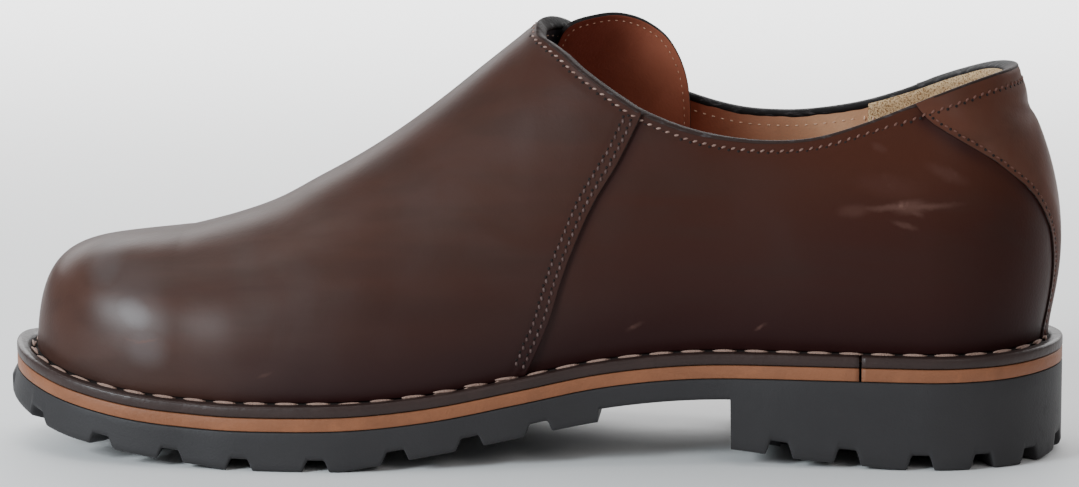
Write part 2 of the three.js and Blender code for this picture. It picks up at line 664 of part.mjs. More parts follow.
// Outsole: one moulding with its heel, arch cut away and lugs cut into the tread
function makeOutsole() {
  const body = plateSolid(RINGS, outsoleTopZ, treadZ, [...RINGS.slice(0, -1), treadReach]);
  const archX = [FORE_END * LENGTH, BREAST * LENGTH];
  const archSteps = 4;
  const archRoof = [];
  for (let k = 0; k <= archSteps; k += 1) {
    const x = archX[0] + ((archX[1] - archX[0]) * k) / archSteps;
    archRoof.push(new THREE.Vector3(x, 0, waistZ(x)));
  }
  const arch = sideBlock(
    [new THREE.Vector3(archX[0], 0, -FORE_SEAT), ...archRoof, new THREE.Vector3(archX[1], 0, -FORE_SEAT)],
    -BALL_WIDTH,
    BALL_WIDTH,
  );
  const cuts = [arch];
  for (const at of FORE_NOTCHES)
    for (const place of bothSides(sidePlace(at))) cuts.push(edgeNotch(place, LUG_DEPTH));
  for (const turn of TOE_NOTCHES.outer) cuts.push(edgeNotch(toePlace(turn), LUG_DEPTH));
  for (const turn of TOE_NOTCHES.inner) cuts.push(edgeNotch(2 * HALF_LOOP - toePlace(turn), LUG_DEPTH));
  for (const at of HEEL_NOTCHES)
    for (const place of bothSides(sidePlace(at))) cuts.push(edgeNotch(place, HEEL_LUG_DEPTH));
  for (const turn of HEEL_NOTCH_TURNS)
    for (const place of bothSides(heelPlace(turn))) cuts.push(edgeNotch(place, HEEL_LUG_DEPTH));
  for (const side of [1, -1]) {
    cuts.push(...channel(0, sidePlace(FORE_NOTCHES[FORE_NOTCHES.length - 1]), side, LUG_DEPTH));
    cuts.push(...channel(sidePlace(HEEL_NOTCHES[0]), HALF_LOOP, side, HEEL_LUG_DEPTH));
  }
  for (let i = 0; i + 1 < FORE_NOTCHES.length; i += 1)
    cuts.push(middleCut((FORE_NOTCHES[i] + FORE_NOTCHES[i + 1]) / 2, LUG_DEPTH));
  for (let i = 0; i + 1 < HEEL_NOTCHES.length; i += 1)
    cuts.push(middleCut((HEEL_NOTCHES[i] + HEEL_NOTCHES[i + 1]) / 2, HEEL_LUG_DEPTH));
  return cuts.reduce((solid, cut) => solid.subtract(cut), body);
}

const MATERIALS = {
  brown_leather: { color: "#4a2f28", roughness: 0.42, metalness: 0 },
  back_leather: { color: "#5a3427", roughness: 0.45, metalness: 0 },
  tongue_leather: { color: "#7a4228", roughness: 0.6, metalness: 0 },
  lining_leather: { color: "#a5683f", roughness: 0.65, metalness: 0 },
  dark_welt: { color: "#3d302e", roughness: 0.55, metalness: 0 },
  tan_midsole: { color: "#b06f4c", roughness: 0.6, metalness: 0 },
  black_rubber: { color: "#34373a", roughness: 0.75, metalness: 0 },
};

const shoe = new THREE.Group();
shoe.name = "shoe";

function addPiece(name, solid, material) {
  const mesh = solid.getMesh();
  const geometry = new THREE.BufferGeometry();
  geometry.setAttribute("position", new THREE.Float32BufferAttribute(mesh.vertProperties, 3));
  geometry.setIndex(new THREE.Uint32BufferAttribute(mesh.triVerts, 1));
  geometry.computeVertexNormals();
  const piece = new THREE.Mesh(geometry, new THREE.MeshStandardMaterial(MATERIALS[material]));
  piece.name = name;
  shoe.add(piece);
}

addPiece("outsole", makeOutsole(), "black_rubber");
addPiece("midsole", makeMidsole(), "tan_midsole");
addPiece("welt", makeWelt(), "dark_welt");
addPiece("insole", makeInsole(), "lining_leather");
addPiece("vamp", makeVamp(), "brown_leather");
addPiece("quarters", makeQuarters(), "brown_leather");
addPiece("back_piece", makeCounter(), "back_leather");
addPiece("tongue", makeTongue(), "tongue_leather");

export default shoe;
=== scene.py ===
"""The looks of a low slip-on shoe for the right foot, built round its CAD model.

The leather, lining, edge paint, thread, welt, midsole and rubber sole are made on the same form as
the CAD solids: one set of stations gives the shoe's last, and every sheet is laid out on it.
"""

import json
import math

import bmesh
import bpy
import numpy as np
from mathutils import Matrix, Vector
from mathutils.bvhtree import BVHTree

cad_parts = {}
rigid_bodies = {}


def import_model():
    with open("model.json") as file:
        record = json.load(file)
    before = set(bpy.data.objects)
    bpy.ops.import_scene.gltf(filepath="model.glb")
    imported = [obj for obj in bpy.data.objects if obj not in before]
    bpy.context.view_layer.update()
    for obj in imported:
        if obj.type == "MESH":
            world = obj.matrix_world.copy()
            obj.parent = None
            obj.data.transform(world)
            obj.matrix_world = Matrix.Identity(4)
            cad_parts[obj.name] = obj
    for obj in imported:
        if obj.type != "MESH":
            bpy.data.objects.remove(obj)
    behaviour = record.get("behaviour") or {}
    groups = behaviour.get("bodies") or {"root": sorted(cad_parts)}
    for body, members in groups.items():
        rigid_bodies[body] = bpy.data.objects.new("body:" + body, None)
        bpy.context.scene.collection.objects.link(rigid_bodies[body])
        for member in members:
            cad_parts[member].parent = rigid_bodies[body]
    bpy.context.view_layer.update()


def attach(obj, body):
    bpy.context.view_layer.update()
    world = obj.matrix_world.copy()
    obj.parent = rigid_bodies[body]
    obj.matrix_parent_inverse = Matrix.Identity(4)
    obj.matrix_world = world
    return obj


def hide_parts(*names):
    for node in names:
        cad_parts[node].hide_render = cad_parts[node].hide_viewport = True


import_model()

bl_info = {
    "name": "Low slip-on shoe",
    "version": (1, 0, 0),
    "blender": (4, 5, 0),
    "location": "View3D > Sidebar > Shoe",
    "description": "Builds a leather slip-on shoe with a stitched welt and a lugged rubber sole",
    "category": "Object",
}

MM = 0.001
BODY = "root"
SIDES = ((1, "outer"), (-1, "inner"))

# The photograph: its width in pixels and a pixel's size on the shoe, in metres
PHOTO_WIDTH = 1079
PHOTO_PIXEL = 0.0002865
SENSOR = 36.0
CAMERA_FAR = 1.3
CAMERA_TURN = 4.0
CAMERA_LIFT = 8.5

# Places along the shoe, as shares of its length from the middle
TOE_AXIS = -1 / 3
HEEL_AXIS = 0.367
FORE_END = 0.066
BREAST = 0.189
JOINT_AT = 0.309
DRAWN_RATIO = 25 / 9
FAN_SHARE = 0.85

# Lengths in millimetres
BACK_LIP = 2.4
# How far the back piece's cut edge lies inside the solid's
PATCH_TRIM = 1.5
PATCH_EDGE = 0.55
LEAST_LAP = 0.06
LAP_TAPER = 46.0
# The stitch rows' distances from the edges they follow
TOPLINE_INSET = 1.6
LINING_INSET = 3.9
SEAM_INSETS = {"near": 1.6, "far": 3.9}
BACK_INSET = 1.9
# How deep and how wide the leather is drawn in along the stitches
TOPLINE_PRESS = (0.32, 1.1)
PATCH_TOP_PRESS = (0.3, 1.1)
SEAM_PRESS = (0.22, 0.9)
BACK_PRESS = (0.25, 0.9)
# The soft fold across the back piece: its height, depth and half width
BACK_FOLD = 98.5
FOLD_DEPTH = 0.75
FOLD_WIDTH = 2.6
# The leathers' own thicknesses
THICK = {"vamp": 1.05, "quarters": 1.2, "patch": 0.5, "lining": 1.0, "heel lining": 0.7, "tongue": 1.2}
# The throat's lining is dark in front of this place and above this height
FACING_TO, FACING_ABOVE = 10.0, 90.0
HEEL_LINING_FROM = 94.0
HEEL_LINING_STEP = 0.45
QUARTER_TUCK = 4.0
TONGUE_THICK = 2.4
TONGUE_MARGIN = 1.8
TONGUE_RIDGE = 0.22
INSOLE_RISE = 2.6
NOTCH_WIDTH = 6.2
NOTCH_DRAFT = 1.2
NOTCH_REACH = 15.0
CHANNEL_WIDTH = 4.5
CHANNEL_DRAFT = 0.6
JOINT_HALF = 0.35
WAIST_WEB = 11.6
TIP_FLARE = 1.5
# Columns of the outsole beside the middle of a notch and of a channel, and its rows in from the edge
NOTCH_STEPS = (-4.6, -4.1, -3.75, -3.4, -3.05, -2.7, -2.35, -1.9, 0)
NOTCH_STEPS += (1.9, 2.35, 2.7, 3.05, 3.4, 3.75, 4.1, 4.6)
CHANNEL_STEPS = (-2.9, -2.5, -2.1, -1.7, 0, 1.7, 2.1, 2.5, 2.9)
SOLE_INSETS = (0.0, 0.25, 0.8, 1.8, 4.0, 7.5, 11.0, 13.6, 14.4)
SOLE_INSETS += (14.8, 15.2, 15.8, 17.2, 18.6, 19.2, 19.6, 20.2)
# How far the sole's lower edge is rounded up at the first of those rows
SOLE_ROUNDING = {0.0: 1.1, 0.25: 0.42, 0.8: 0.08}
# Columns of the outsole elsewhere, and how near to a notch or a channel none of those is wanted
SOLE_STEP, NOTCH_CLEAR, CHANNEL_CLEAR = 2.4, 5.0, 3.2
AWL_HOLE = (0.5 * MM, 0.46 * MM, 0.12 * MM)
# Two plies of a thread lie this share of its width beside the middle, and cross at this angle
PLY_BESIDE, PLY_TURN = 0.27, 0.09

# Marks in the leather, the rubbed ones and the painted highlight: how far their outlines wander in metres,
# and their size against the table's
WANDER = 0.0018
MARK_LONG = 0.62
MARK_WIDE = 1.5


def rows(names, *lines):
    """A short table: one named column of numbers for each word in names."""
    return {name: np.array(column, float) for name, column in zip(names.split(), zip(*lines))}


STATIONS = rows(
    "at turn inner outer margin swell lift shoulder fall",
    (TOE_AXIS, 0, 0.92, 0.92, 0.98, -0.022, 1.028, 0.669, 0.136),
    (TOE_AXIS, 22.5, 0.916, 0.925, 1, -0.01, 1, 0.68, 0.125),
    (TOE_AXIS, 45, 0.89, 0.89, 1.02, 0.02, 0.9, 0.7, 0.085),
    (TOE_AXIS, 67.5, 0.855, 0.88, 1.03, 0.055, 0.76, 0.725, 0.04),
    (TOE_AXIS, 90, 0.868, 0.93, 1.06, 0.085, 0.64, 0.73, 0),
    (-0.267, 90, 0.954, 0.985, 1.06, 0.085, 0.57, 0.66, 0),
    (-0.183, 90, 1, 1, 1.08, 0.085, 0.49, 0.58, 0),
    (-0.1, 90, 0.943, 0.981, 1.08, 0.085, 0.45, 0.55, 0),
    (-0.017, 90, 0.833, 0.907, 1.08, 0.095, 0.4, 0.62, 0),
    (0.067, 90, 0.731, 0.815, 1.05, 0.13, 0.33, 0.88, 0.025),
    (0.167, 90, 0.676, 0.741, 1.02, 0.15, 0.28, 1.18, 0.09),
    (0.267, 90, 0.71, 0.722, 0.99, 0.135, 0.275, 1.12, 0.115),
    (HEEL_AXIS, 90, 0.737, 0.731, 0.97, 0.12, 0.275, 1.08, 0.16),
    (HEEL_AXIS, 120, 0.736, 0.732, 0.96, 0.09, 0.24, 1.2, 0.28),
    (HEEL_AXIS, 150, 0.738, 0.735, 0.96, 0.035, 0.16, 1.44, 0.46),
    (HEEL_AXIS, 180, 0.742, 0.742, 0.96, 0.003, 0.118, 1.547, 0.533),
)
CENTRE_LINE = rows(
    "at side", (-0.333, -0.055), (-0.267, -0.03), (-0.183, 0), (-0.017, 0.018), (0.067, 0.018),
    (0.267, 0), (0.5, 0),
)
SEAT_LINE = rows(
    "at climb curl", (-0.51, 0, 1.28), (-0.48, 0, 0.93), (-0.43, 0, 0.51), (-0.37, 0, 0.19),
    (-0.3, 0, 0.02), (-0.227, 0, 0), (-0.15, 0.05, 0), (-0.08, 0.21, 0), (-0.007, 0.49, 0),
    (0.067, 0.79, 0), (0.14, 0.955, 0), (0.217, 1, 0), (0.43, 1, 0), (0.52, 1.1, 0),
)
FORE_TREAD = rows(
    "at thick", (-0.51, 0.84), (-0.45, 0.92), (-0.38, 0.91), (-0.3, 0.96), (-0.26, 1.02),
    (-0.18, 1.03), (-0.15, 0.985), (-0.11, 0.93), (-0.05, 0.91), (0.066, 0.915), (0.2, 0.92),
)
HEEL_TREAD = rows(
    "at rock", (0.1, 1.4), (0.189, 1), (0.25, 0.54), (0.3, 0.27), (0.345, 0), (0.472, 0),
    (0.5, 0.4),
)
CROWN_LINE = rows(
    "at rise", (-0.333, 0.435), (-0.287, 0.481), (-0.247, 0.528), (-0.21, 0.589), (-0.17, 0.654),
    (-0.133, 0.717), (-0.093, 0.789), (-0.057, 0.858), (-0.017, 0.934), (0.01, 0.986),
    (0.067, 1.066), (0.12, 1.088), (0.4, 1.094),
)
TOPLINE = rows(
    "at inner outer", (-0.02, 0.91, 1.03), (0, 0.82, 1.005), (0.0143, 0.822, 0.965),
    (0.0283, 0.814, 0.92), (0.0433, 0.789, 0.865), (0.0733, 0.734, 0.787), (0.1033, 0.681, 0.72),
    (0.1467, 0.634, 0.663), (0.19, 0.612, 0.628), (0.2333, 0.608, 0.62), (0.27, 0.622, 0.629),
    (0.3133, 0.664, 0.654), (0.36, 0.72, 0.7), (0.4033, 0.768, 0.75), (0.44, 0.796, 0.788),
    (0.48, 0.804, 0.8), (0.54, 0.804, 0.8),
)
VAMP_SEAM = rows(
    "at high", (-0.012, -0.13), (0.006, -0.01), (0.02, 0.095), (0.03, 0.2), (0.044, 0.316),
    (0.0607, 0.429), (0.082, 0.539), (0.1007, 0.656), (0.118, 0.78),
)
BACK_SEAM = rows(
    "high at", (-0.06, 0.475), (0.03, 0.479), (0.1, 0.4835), (0.18, 0.4868), (0.26, 0.487),
    (0.355, 0.481), (0.465, 0.4603), (0.548, 0.4293), (0.612, 0.3953), (0.678, 0.3613),
    (0.78, 0.337),
)
TONGUE_OUTLINE = rows(
    "at high", (-0.02, 0.6), (0.017, 0.835), (0.03, 0.896), (0.0567, 0.919), (0.077, 0.921),
    (0.1, 0.897), (0.122, 0.84), (0.137, 0.74), (0.142, 0.62), (0.14, 0.46),
)
FORE_NOTCHES = (-0.331, -0.265, -0.193, -0.12, -0.052, 0.011)
TOE_TURNS_INNER = (8, 36.5, 65)
TOE_TURNS_OUTER = (20.5, 45, 69)
HEEL_NOTCHES = (0.2345, 0.298, 0.3655)
HEEL_TURNS = (115.5, 140, 165)

# Soft troughs and ridges worked into the leather: both ends of each, seen from the side, its depth
# (minus for a ridge) and half width in millimetres, and the sides that have it (-1 inner, 1 outer)
CREASES = rows(
    "from_at from_high to_at to_high depth width side",
    (-0.255, 0.085, -0.205, 0.235, 0.28, 5.5, -1),
    (-0.205, 0.05, -0.165, 0.26, 0.34, 6.5, 0),
    (-0.15, 0.06, -0.115, 0.33, 0.3, 7.0, 0),
    (-0.1, 0.1, -0.06, 0.4, 0.22, 7.0, 0),
    (0.03, 0.05, 0.19, 0.1, 0.3, 5.0, 0),
    (0.13, 0.5, 0.27, 0.47, 0.3, 8.0, 0),
    (0.2, 0.3, 0.36, 0.38, -0.22, 9.0, 0),
    (0.33, 0.52, 0.42, 0.42, 0.22, 6.0, 0),
)
# Pale marks rubbed into the leather: the same columns, with their strength
SCUFFS = rows(
    "from_at from_high to_at to_high strength width side",
    (0.303, 0.421, 0.4, 0.437, 0.8, 1.0, -1),
    (0.335, 0.424, 0.372, 0.436, 0.7, 2.0, -1),
    (0.345, 0.432, 0.366, 0.404, 0.6, 0.9, -1),
    (0.336, 0.389, 0.361, 0.366, 0.5, 0.8, -1),
    (0.285, 0.412, 0.318, 0.42, 0.35, 1.8, -1),
    (0.366, 0.552, 0.408, 0.494, 0.3, 1.6, -1),
    (0.316, 0.61, 0.332, 0.583, 0.25, 1.0, -1),
    (0.3, 0.5, 0.37, 0.47, 0.15, 3.0, -1),
    (0.0905, 0.074, 0.1075, 0.096, 0.35, 0.6, -1),
    (0.21, 0.06, 0.223, 0.085, 0.3, 0.5, -1),
    (-0.369, 0.139, -0.343, 0.165, 0.9, 0.4, -1),
    (-0.379, 0.15, -0.356, 0.147, 0.5, 0.35, -1),
    (-0.25, 0.075, -0.235, 0.09, 0.35, 0.5, -1),
)
# A painted highlight on the toe, pale and bluish, standing in for the window light's reflection, set out in
# the same way
PAINTED_HIGHLIGHT = rows(
    "from_at from_high to_at to_high strength width side",
    (-0.388, 0.26, -0.348, 0.19, 0.6, 4.5, -1),
    (-0.38, 0.16, -0.335, 0.11, 0.4, 5.0, -1),
    (-0.41, 0.2, -0.33, 0.25, 0.25, 11.0, -1),
    (-0.42, 0.3, -0.38, 0.36, 0.25, 6.0, -1),
)


def measure(name, description, default):
    return bpy.props.FloatProperty(name=name, description=description, default=default, unit="LENGTH")


def tint(name, description, default):
    return bpy.props.FloatVectorProperty(
        name=name, description=description, default=default, subtype="COLOR"
    )


class ShoeSizes(bpy.types.PropertyGroup):
    """The sizes of the shoe."""

    length: measure("Length", "Outsole, toe to heel", 0.3)
    ball_width: measure("Ball width", "Outsole across the ball of the foot", 0.108)
    upper_height: measure("Upper height", "Welt to throat", 0.097)
    fore_seat: measure("Forefoot seat", "Floor to welt at the ball", 0.0184)
    heel_seat: measure("Heel seat", "Floor to welt at the heel", 0.032)
    toe_spring: measure("Toe spring", "Extra lift at the toe tip", 0.01)
    heel_rock: measure("Heel rock", "Lift of the heel's front edge", 0.0046)
    welt_margin: measure("Welt margin", "Welt past the upper", 0.006)
    welt_thick: measure("Welt thickness", "Side of the welt", 0.0032)
    midsole_thick: measure("Midsole thickness", "Side of the midsole", 0.0034)
    wall: measure("Wall", "Leather and lining together", 0.0028)
    lap: measure("Lap", "Step of the vamp over the quarters", 0.0011)
    back_thick: measure("Back piece", "Thickness of the back piece", 0.0013)
    gap: measure("Clearance", "Between pieces that touch", 0.0003)
    collar_width: measure("Collar width", "Across the topline", 0.066)
    lug_depth: measure("Forefoot lugs", "Depth of the forefoot lugs", 0.0033)
    heel_lug_depth: measure("Heel lugs", "Depth of the heel lugs", 0.0042)
    stitch_pitch: measure("Stitch pitch", "Fine stitches of the upper", 0.0027)
    welt_pitch: measure("Welt stitch pitch", "Thick stitches of the welt", 0.0088)


class ShoeFinish(bpy.types.PropertyGroup):
    """The colours of the shoe."""

    leather: tint("Leather", "Vamp and quarters", (0.066, 0.0365, 0.029))
    back_leather: tint("Back leather", "Back piece", (0.094, 0.0405, 0.0275))
    lining: tint("Lining", "Tan lining", (0.4, 0.185, 0.115))
    heel_lining: tint("Heel lining", "Beige heel lining", (0.78, 0.56, 0.33))
    tongue: tint("Tongue", "Inner face of the tongue", (0.25, 0.083, 0.05))
    edge_paint: tint("Edge paint", "Painted cut edges", (0.0125, 0.0115, 0.012))
    facing: tint("Facing", "Dark lining under the throat", (0.07, 0.07, 0.085))
    welt: tint("Welt", "Welt strip", (0.032, 0.017, 0.0145))
    midsole: tint("Midsole", "Midsole edge", (0.245, 0.093, 0.043))
    rubber: tint("Rubber", "Outsole and heel", (0.0275, 0.0255, 0.027))
    thread: tint("Thread", "Fine thread", (0.34, 0.235, 0.2))
    seam_thread: tint("Seam thread", "Thread of the vamp's seam", (0.12, 0.08, 0.074))
    lining_thread: tint("Lining thread", "Fine thread inside", (0.72, 0.48, 0.34))
    welt_thread: tint("Welt thread", "Thick welt thread", (0.35, 0.225, 0.18))
    floor: tint("Floor", "Studio floor", (0.9, 0.9, 0.9))


def smooth(table, key, column, place):
    """A smooth curve through a table's rows: the column's value where the key equals place."""
    keys, values = table[key], table[column]
    last = len(keys) - 1
    before, after = np.arange(-1, last), np.arange(1, last + 2)
    before[0], after[last] = 0, last
    slope = (values[after] - values[before]) / (keys[after] - keys[before])
    place = np.asarray(place, float)
    i = np.clip(np.searchsorted(keys, place, side="right") - 1, 0, last - 1)
    span = keys[i + 1] - keys[i]
    u = np.clip((place - keys[i]) / span, 0, 1)
    return (
        values[i] * (2 * u**3 - 3 * u**2 + 1)
        + values[i + 1] * (3 * u**2 - 2 * u**3)
        + slope[i] * span * (u**3 - 2 * u**2 + u)
        + slope[i + 1] * span * (u**3 - u**2)
    )


def ease(value, low, high):
    """0 below low, 1 above high, and a soft rise between them."""
    u = np.clip((value - low) / (high - low), 0, 1)
    return u * u * (3 - 2 * u)


def unit(vectors):
    return vectors / np.maximum(np.linalg.norm(vectors, axis=-1, keepdims=True), 1e-9)


def halve(low, high, rising, steps=36):
    """Where rising(value) turns positive between low and high, for whole arrays at once."""
    low, high = np.broadcast_arrays(np.asarray(low, float), np.asarray(high, float))
    low, high = low.copy(), high.copy()
    for _ in range(steps):
        middle = (low + high) / 2
        above = rising(middle) > 0
        high = np.where(above, middle, high)
        low = np.where(above, low, middle)
    return (low + high) / 2


class Last:
    """The form of the shoe. A place is a distance round the loop from the toe tip, down the outer
    side and back up the inner side, and t runs up the wall from the welt to the crown. All lengths
    here are in millimetres."""

    def __init__(self, sizes):
        for name in sizes.__annotations__:
            setattr(self, name, getattr(sizes, name) / MM)
        self.half = self.ball_width / 2
        self.fan_radius = self.half * FAN_SHARE
        self.fan = self.fan_radius * math.pi / 2
        self.toe_x, self.heel_x = TOE_AXIS * self.length, HEEL_AXIS * self.length
        self.half_loop = 2 * self.fan + self.heel_x - self.toe_x
        self.stretch = self.length / self.ball_width / DRAWN_RATIO
        table = STATIONS
        place = (
            np.minimum(table["turn"], 90) * self.fan / 90
            + table["at"] * self.length
            - self.toe_x
            + np.maximum(table["turn"] - 90, 0) * self.fan / 90
        )
        back = slice(-2, 0, -1)
        loop = 2 * self.half_loop
        self.closed = {}
        columns = {name: np.concatenate([table[name], table[name][back]]) for name in table}
        columns["reach"] = np.concatenate([table["outer"], table["inner"][back]])
        columns["place"] = np.concatenate([place, loop - place[back]])
        for name, column in columns.items():
            step = loop if name == "place" else 0
            self.closed[name] = np.concatenate([column[-3:] - step, column, column[:3] + step])

    def shape(self, column, place):
        return smooth(self.closed, "place", column, np.mod(place, 2 * self.half_loop))

    def centre(self, x):
        return self.half * smooth(CENTRE_LINE, "at", "side", x / self.length)

    def seat(self, x):
        at = x / self.length
        climb = smooth(SEAT_LINE, "at", "climb", at)
        curl = smooth(SEAT_LINE, "at", "curl", at)
        return self.fore_seat + (self.heel_seat - self.fore_seat) * climb + self.toe_spring * curl

    def crown(self, x):
        return self.seat(x) + self.upper_height * smooth(CROWN_LINE, "at", "rise", x / self.length)

    def midsole_top(self, x):
        return self.seat(x) - self.welt_thick - self.gap

    def outsole_top(self, x):
        return self.midsole_top(x) - self.midsole_thick - self.gap

    def tread(self, x):
        at = x / self.length
        fore = self.seat(x) - self.fore_seat * smooth(FORE_TREAD, "at", "thick", at)
        heel = self.heel_rock * smooth(HEEL_TREAD, "at", "rock", at)
        return np.maximum(np.where(at < (FORE_END + BREAST) / 2, fore, heel), 0)

    def rib(self, place):
        place = np.mod(place, 2 * self.half_loop)
        inner = place > self.half_loop
        along = np.where(inner, 2 * self.half_loop - place, place)
        x = np.clip(self.toe_x + along - self.fan, self.toe_x, self.heel_x)
        turn = np.where(along < self.fan, 90 * along / self.fan, 90.0)
        turn = np.where(
            along > self.half_loop - self.fan, 180 - 90 * (self.half_loop - along) / self.fan, turn
        )
        angle = np.radians(turn)
        side = np.where(inner, -1.0, 1.0)
        return x, self.centre(x), -self.stretch * np.cos(angle), side * np.sin(angle)

    def sole_reach(self, place):
        return self.half * self.shape("reach", place)

    def foot_reach(self, place):
        return self.sole_reach(place) - self.welt_margin * self.shape("margin", place)

    def plan(self, place, reach):
        x, y, out_x, out_y = self.rib(place)
        return x + out_x * reach, y + out_y * reach

    def wall_at(self, place, t):
        """Points of the wall."""
        place, t = np.broadcast_arrays(np.asarray(place, float), np.asarray(t, float))
        x, y, out_x, out_y = self.rib(place)
        foot = self.foot_reach(place)
        foot_z = self.seat(x + out_x * foot)
        top_z = self.crown(x)
        tall = top_z - foot_z
        reach = (
            (1 - t) ** 3 * foot
            + 3 * (1 - t) ** 2 * t * (foot + self.half * self.shape("swell", place))
            + 3 * (1 - t) * t**2 * foot * self.shape("shoulder", place)
        )
        z = (
            (1 - t) ** 3 * foot_z
            + 3 * (1 - t) ** 2 * t * (foot_z + tall * self.shape("lift", place))
            + 3 * (1 - t) * t**2 * (top_z - tall * self.shape("fall", place))
            + t**3 * top_z
        )
        over = (z - self.heel_seat) / self.upper_height
        lip = ease(out_x / self.stretch, 0.4, 0.95) * ease(over, 0.66, 0.82) * (1 - ease(over, 0.9, 1.05))
        reach = reach + BACK_LIP * lip
        return np.stack([x + out_x * reach, y + out_y * reach, z], -1)

    def normal_at(self, place, t):
        place, t = np.broadcast_arrays(np.asarray(place, float), np.asarray(t, float))
        step = 0.004
        round_it = self.wall_at(place + 0.1, t) - self.wall_at(place - 0.1, t)
        up = self.wall_at(place, np.minimum(t + step, 1)) - self.wall_at(place, np.maximum(t - step, 0))
        wall = -unit(np.cross(round_it, up))
        x = self.rib(place)[0]
        ridge = unit(np.stack([self.crown(x - 1) - self.crown(x + 1), 0 * x, 2 + 0 * x], -1))
        near_crown = ease(t, 0.985, 0.999)[..., None]
        return unit(wall * (1 - near_crown) + ridge * near_crown)

    def skin(self, place, t, offset):
        return self.wall_at(place, t) + self.normal_at(place, t) * np.asarray(offset)[..., None]

    def side_place(self, x):
        return x - self.toe_x + self.fan

    def on_side(self, place, side):
        return np.where(side > 0, place, 2 * self.half_loop - place)

    def topline_height(self, x, y):
        at = x / self.length
        inner = smooth(TOPLINE, "at", "inner", at)
        outer = smooth(TOPLINE, "at", "outer", at)
        tilt = self.upper_height * (outer - inner) / self.collar_width
        height = self.heel_seat + self.upper_height * (inner + outer) / 2 + tilt * y
        return np.where(at < TOPLINE["at"][0], 1e3, height)

    def topline_t(self, place):
        """How far up the wall the topline crosses it; 1 in front of the throat."""

        def over(t):
            p = self.wall_at(place, t)
            return p[..., 2] - self.topline_height(p[..., 0], p[..., 1])

        t = halve(np.full(np.shape(place), 0.25), 1.0, over)
        return np.where(over(np.ones(np.shape(place))) <= 0, 1.0, t)

    def lap_offset(self, x):
        """How far the vamp's outside stands out from the quarters' form."""
        behind = self.length * VAMP_SEAM["at"][-1]
        return LEAST_LAP + (self.lap - LEAST_LAP) * ease(x, behind - 2 * LAP_TAPER, behind - LAP_TAPER)


def along(points):
    """Distance run along a line of points."""
    steps = np.linalg.norm(np.diff(points, axis=0), axis=1)
    return np.concatenate([[0], np.cumsum(steps)])


def resample(values, run, wanted):
    """Each column of values, read at the wanted distances."""
    values = np.asarray(values, float)
    if values.ndim == 1:
        return np.interp(wanted, run, values)
    return np.stack([np.interp(wanted, run, values[:, k]) for k in range(values.shape[1])], -1)


def crossing(edge, over):
    """Where on the topline over turns positive: the distance along it, and how far up the wall."""
    k = int(np.argmax(over > 0))
    run = float(np.interp(0, over[k - 1 : k + 1], edge["run"][k - 1 : k + 1]))
    return run, float(resample(edge["t"], edge["run"], run))


def joined(first, second):
    """Two grids of columns as one: they share the column where they meet."""
    return [np.concatenate([a, b[1:]]) for a, b in zip(first, second)]


def backwards(columns):
    return [part[::-1] for part in columns]


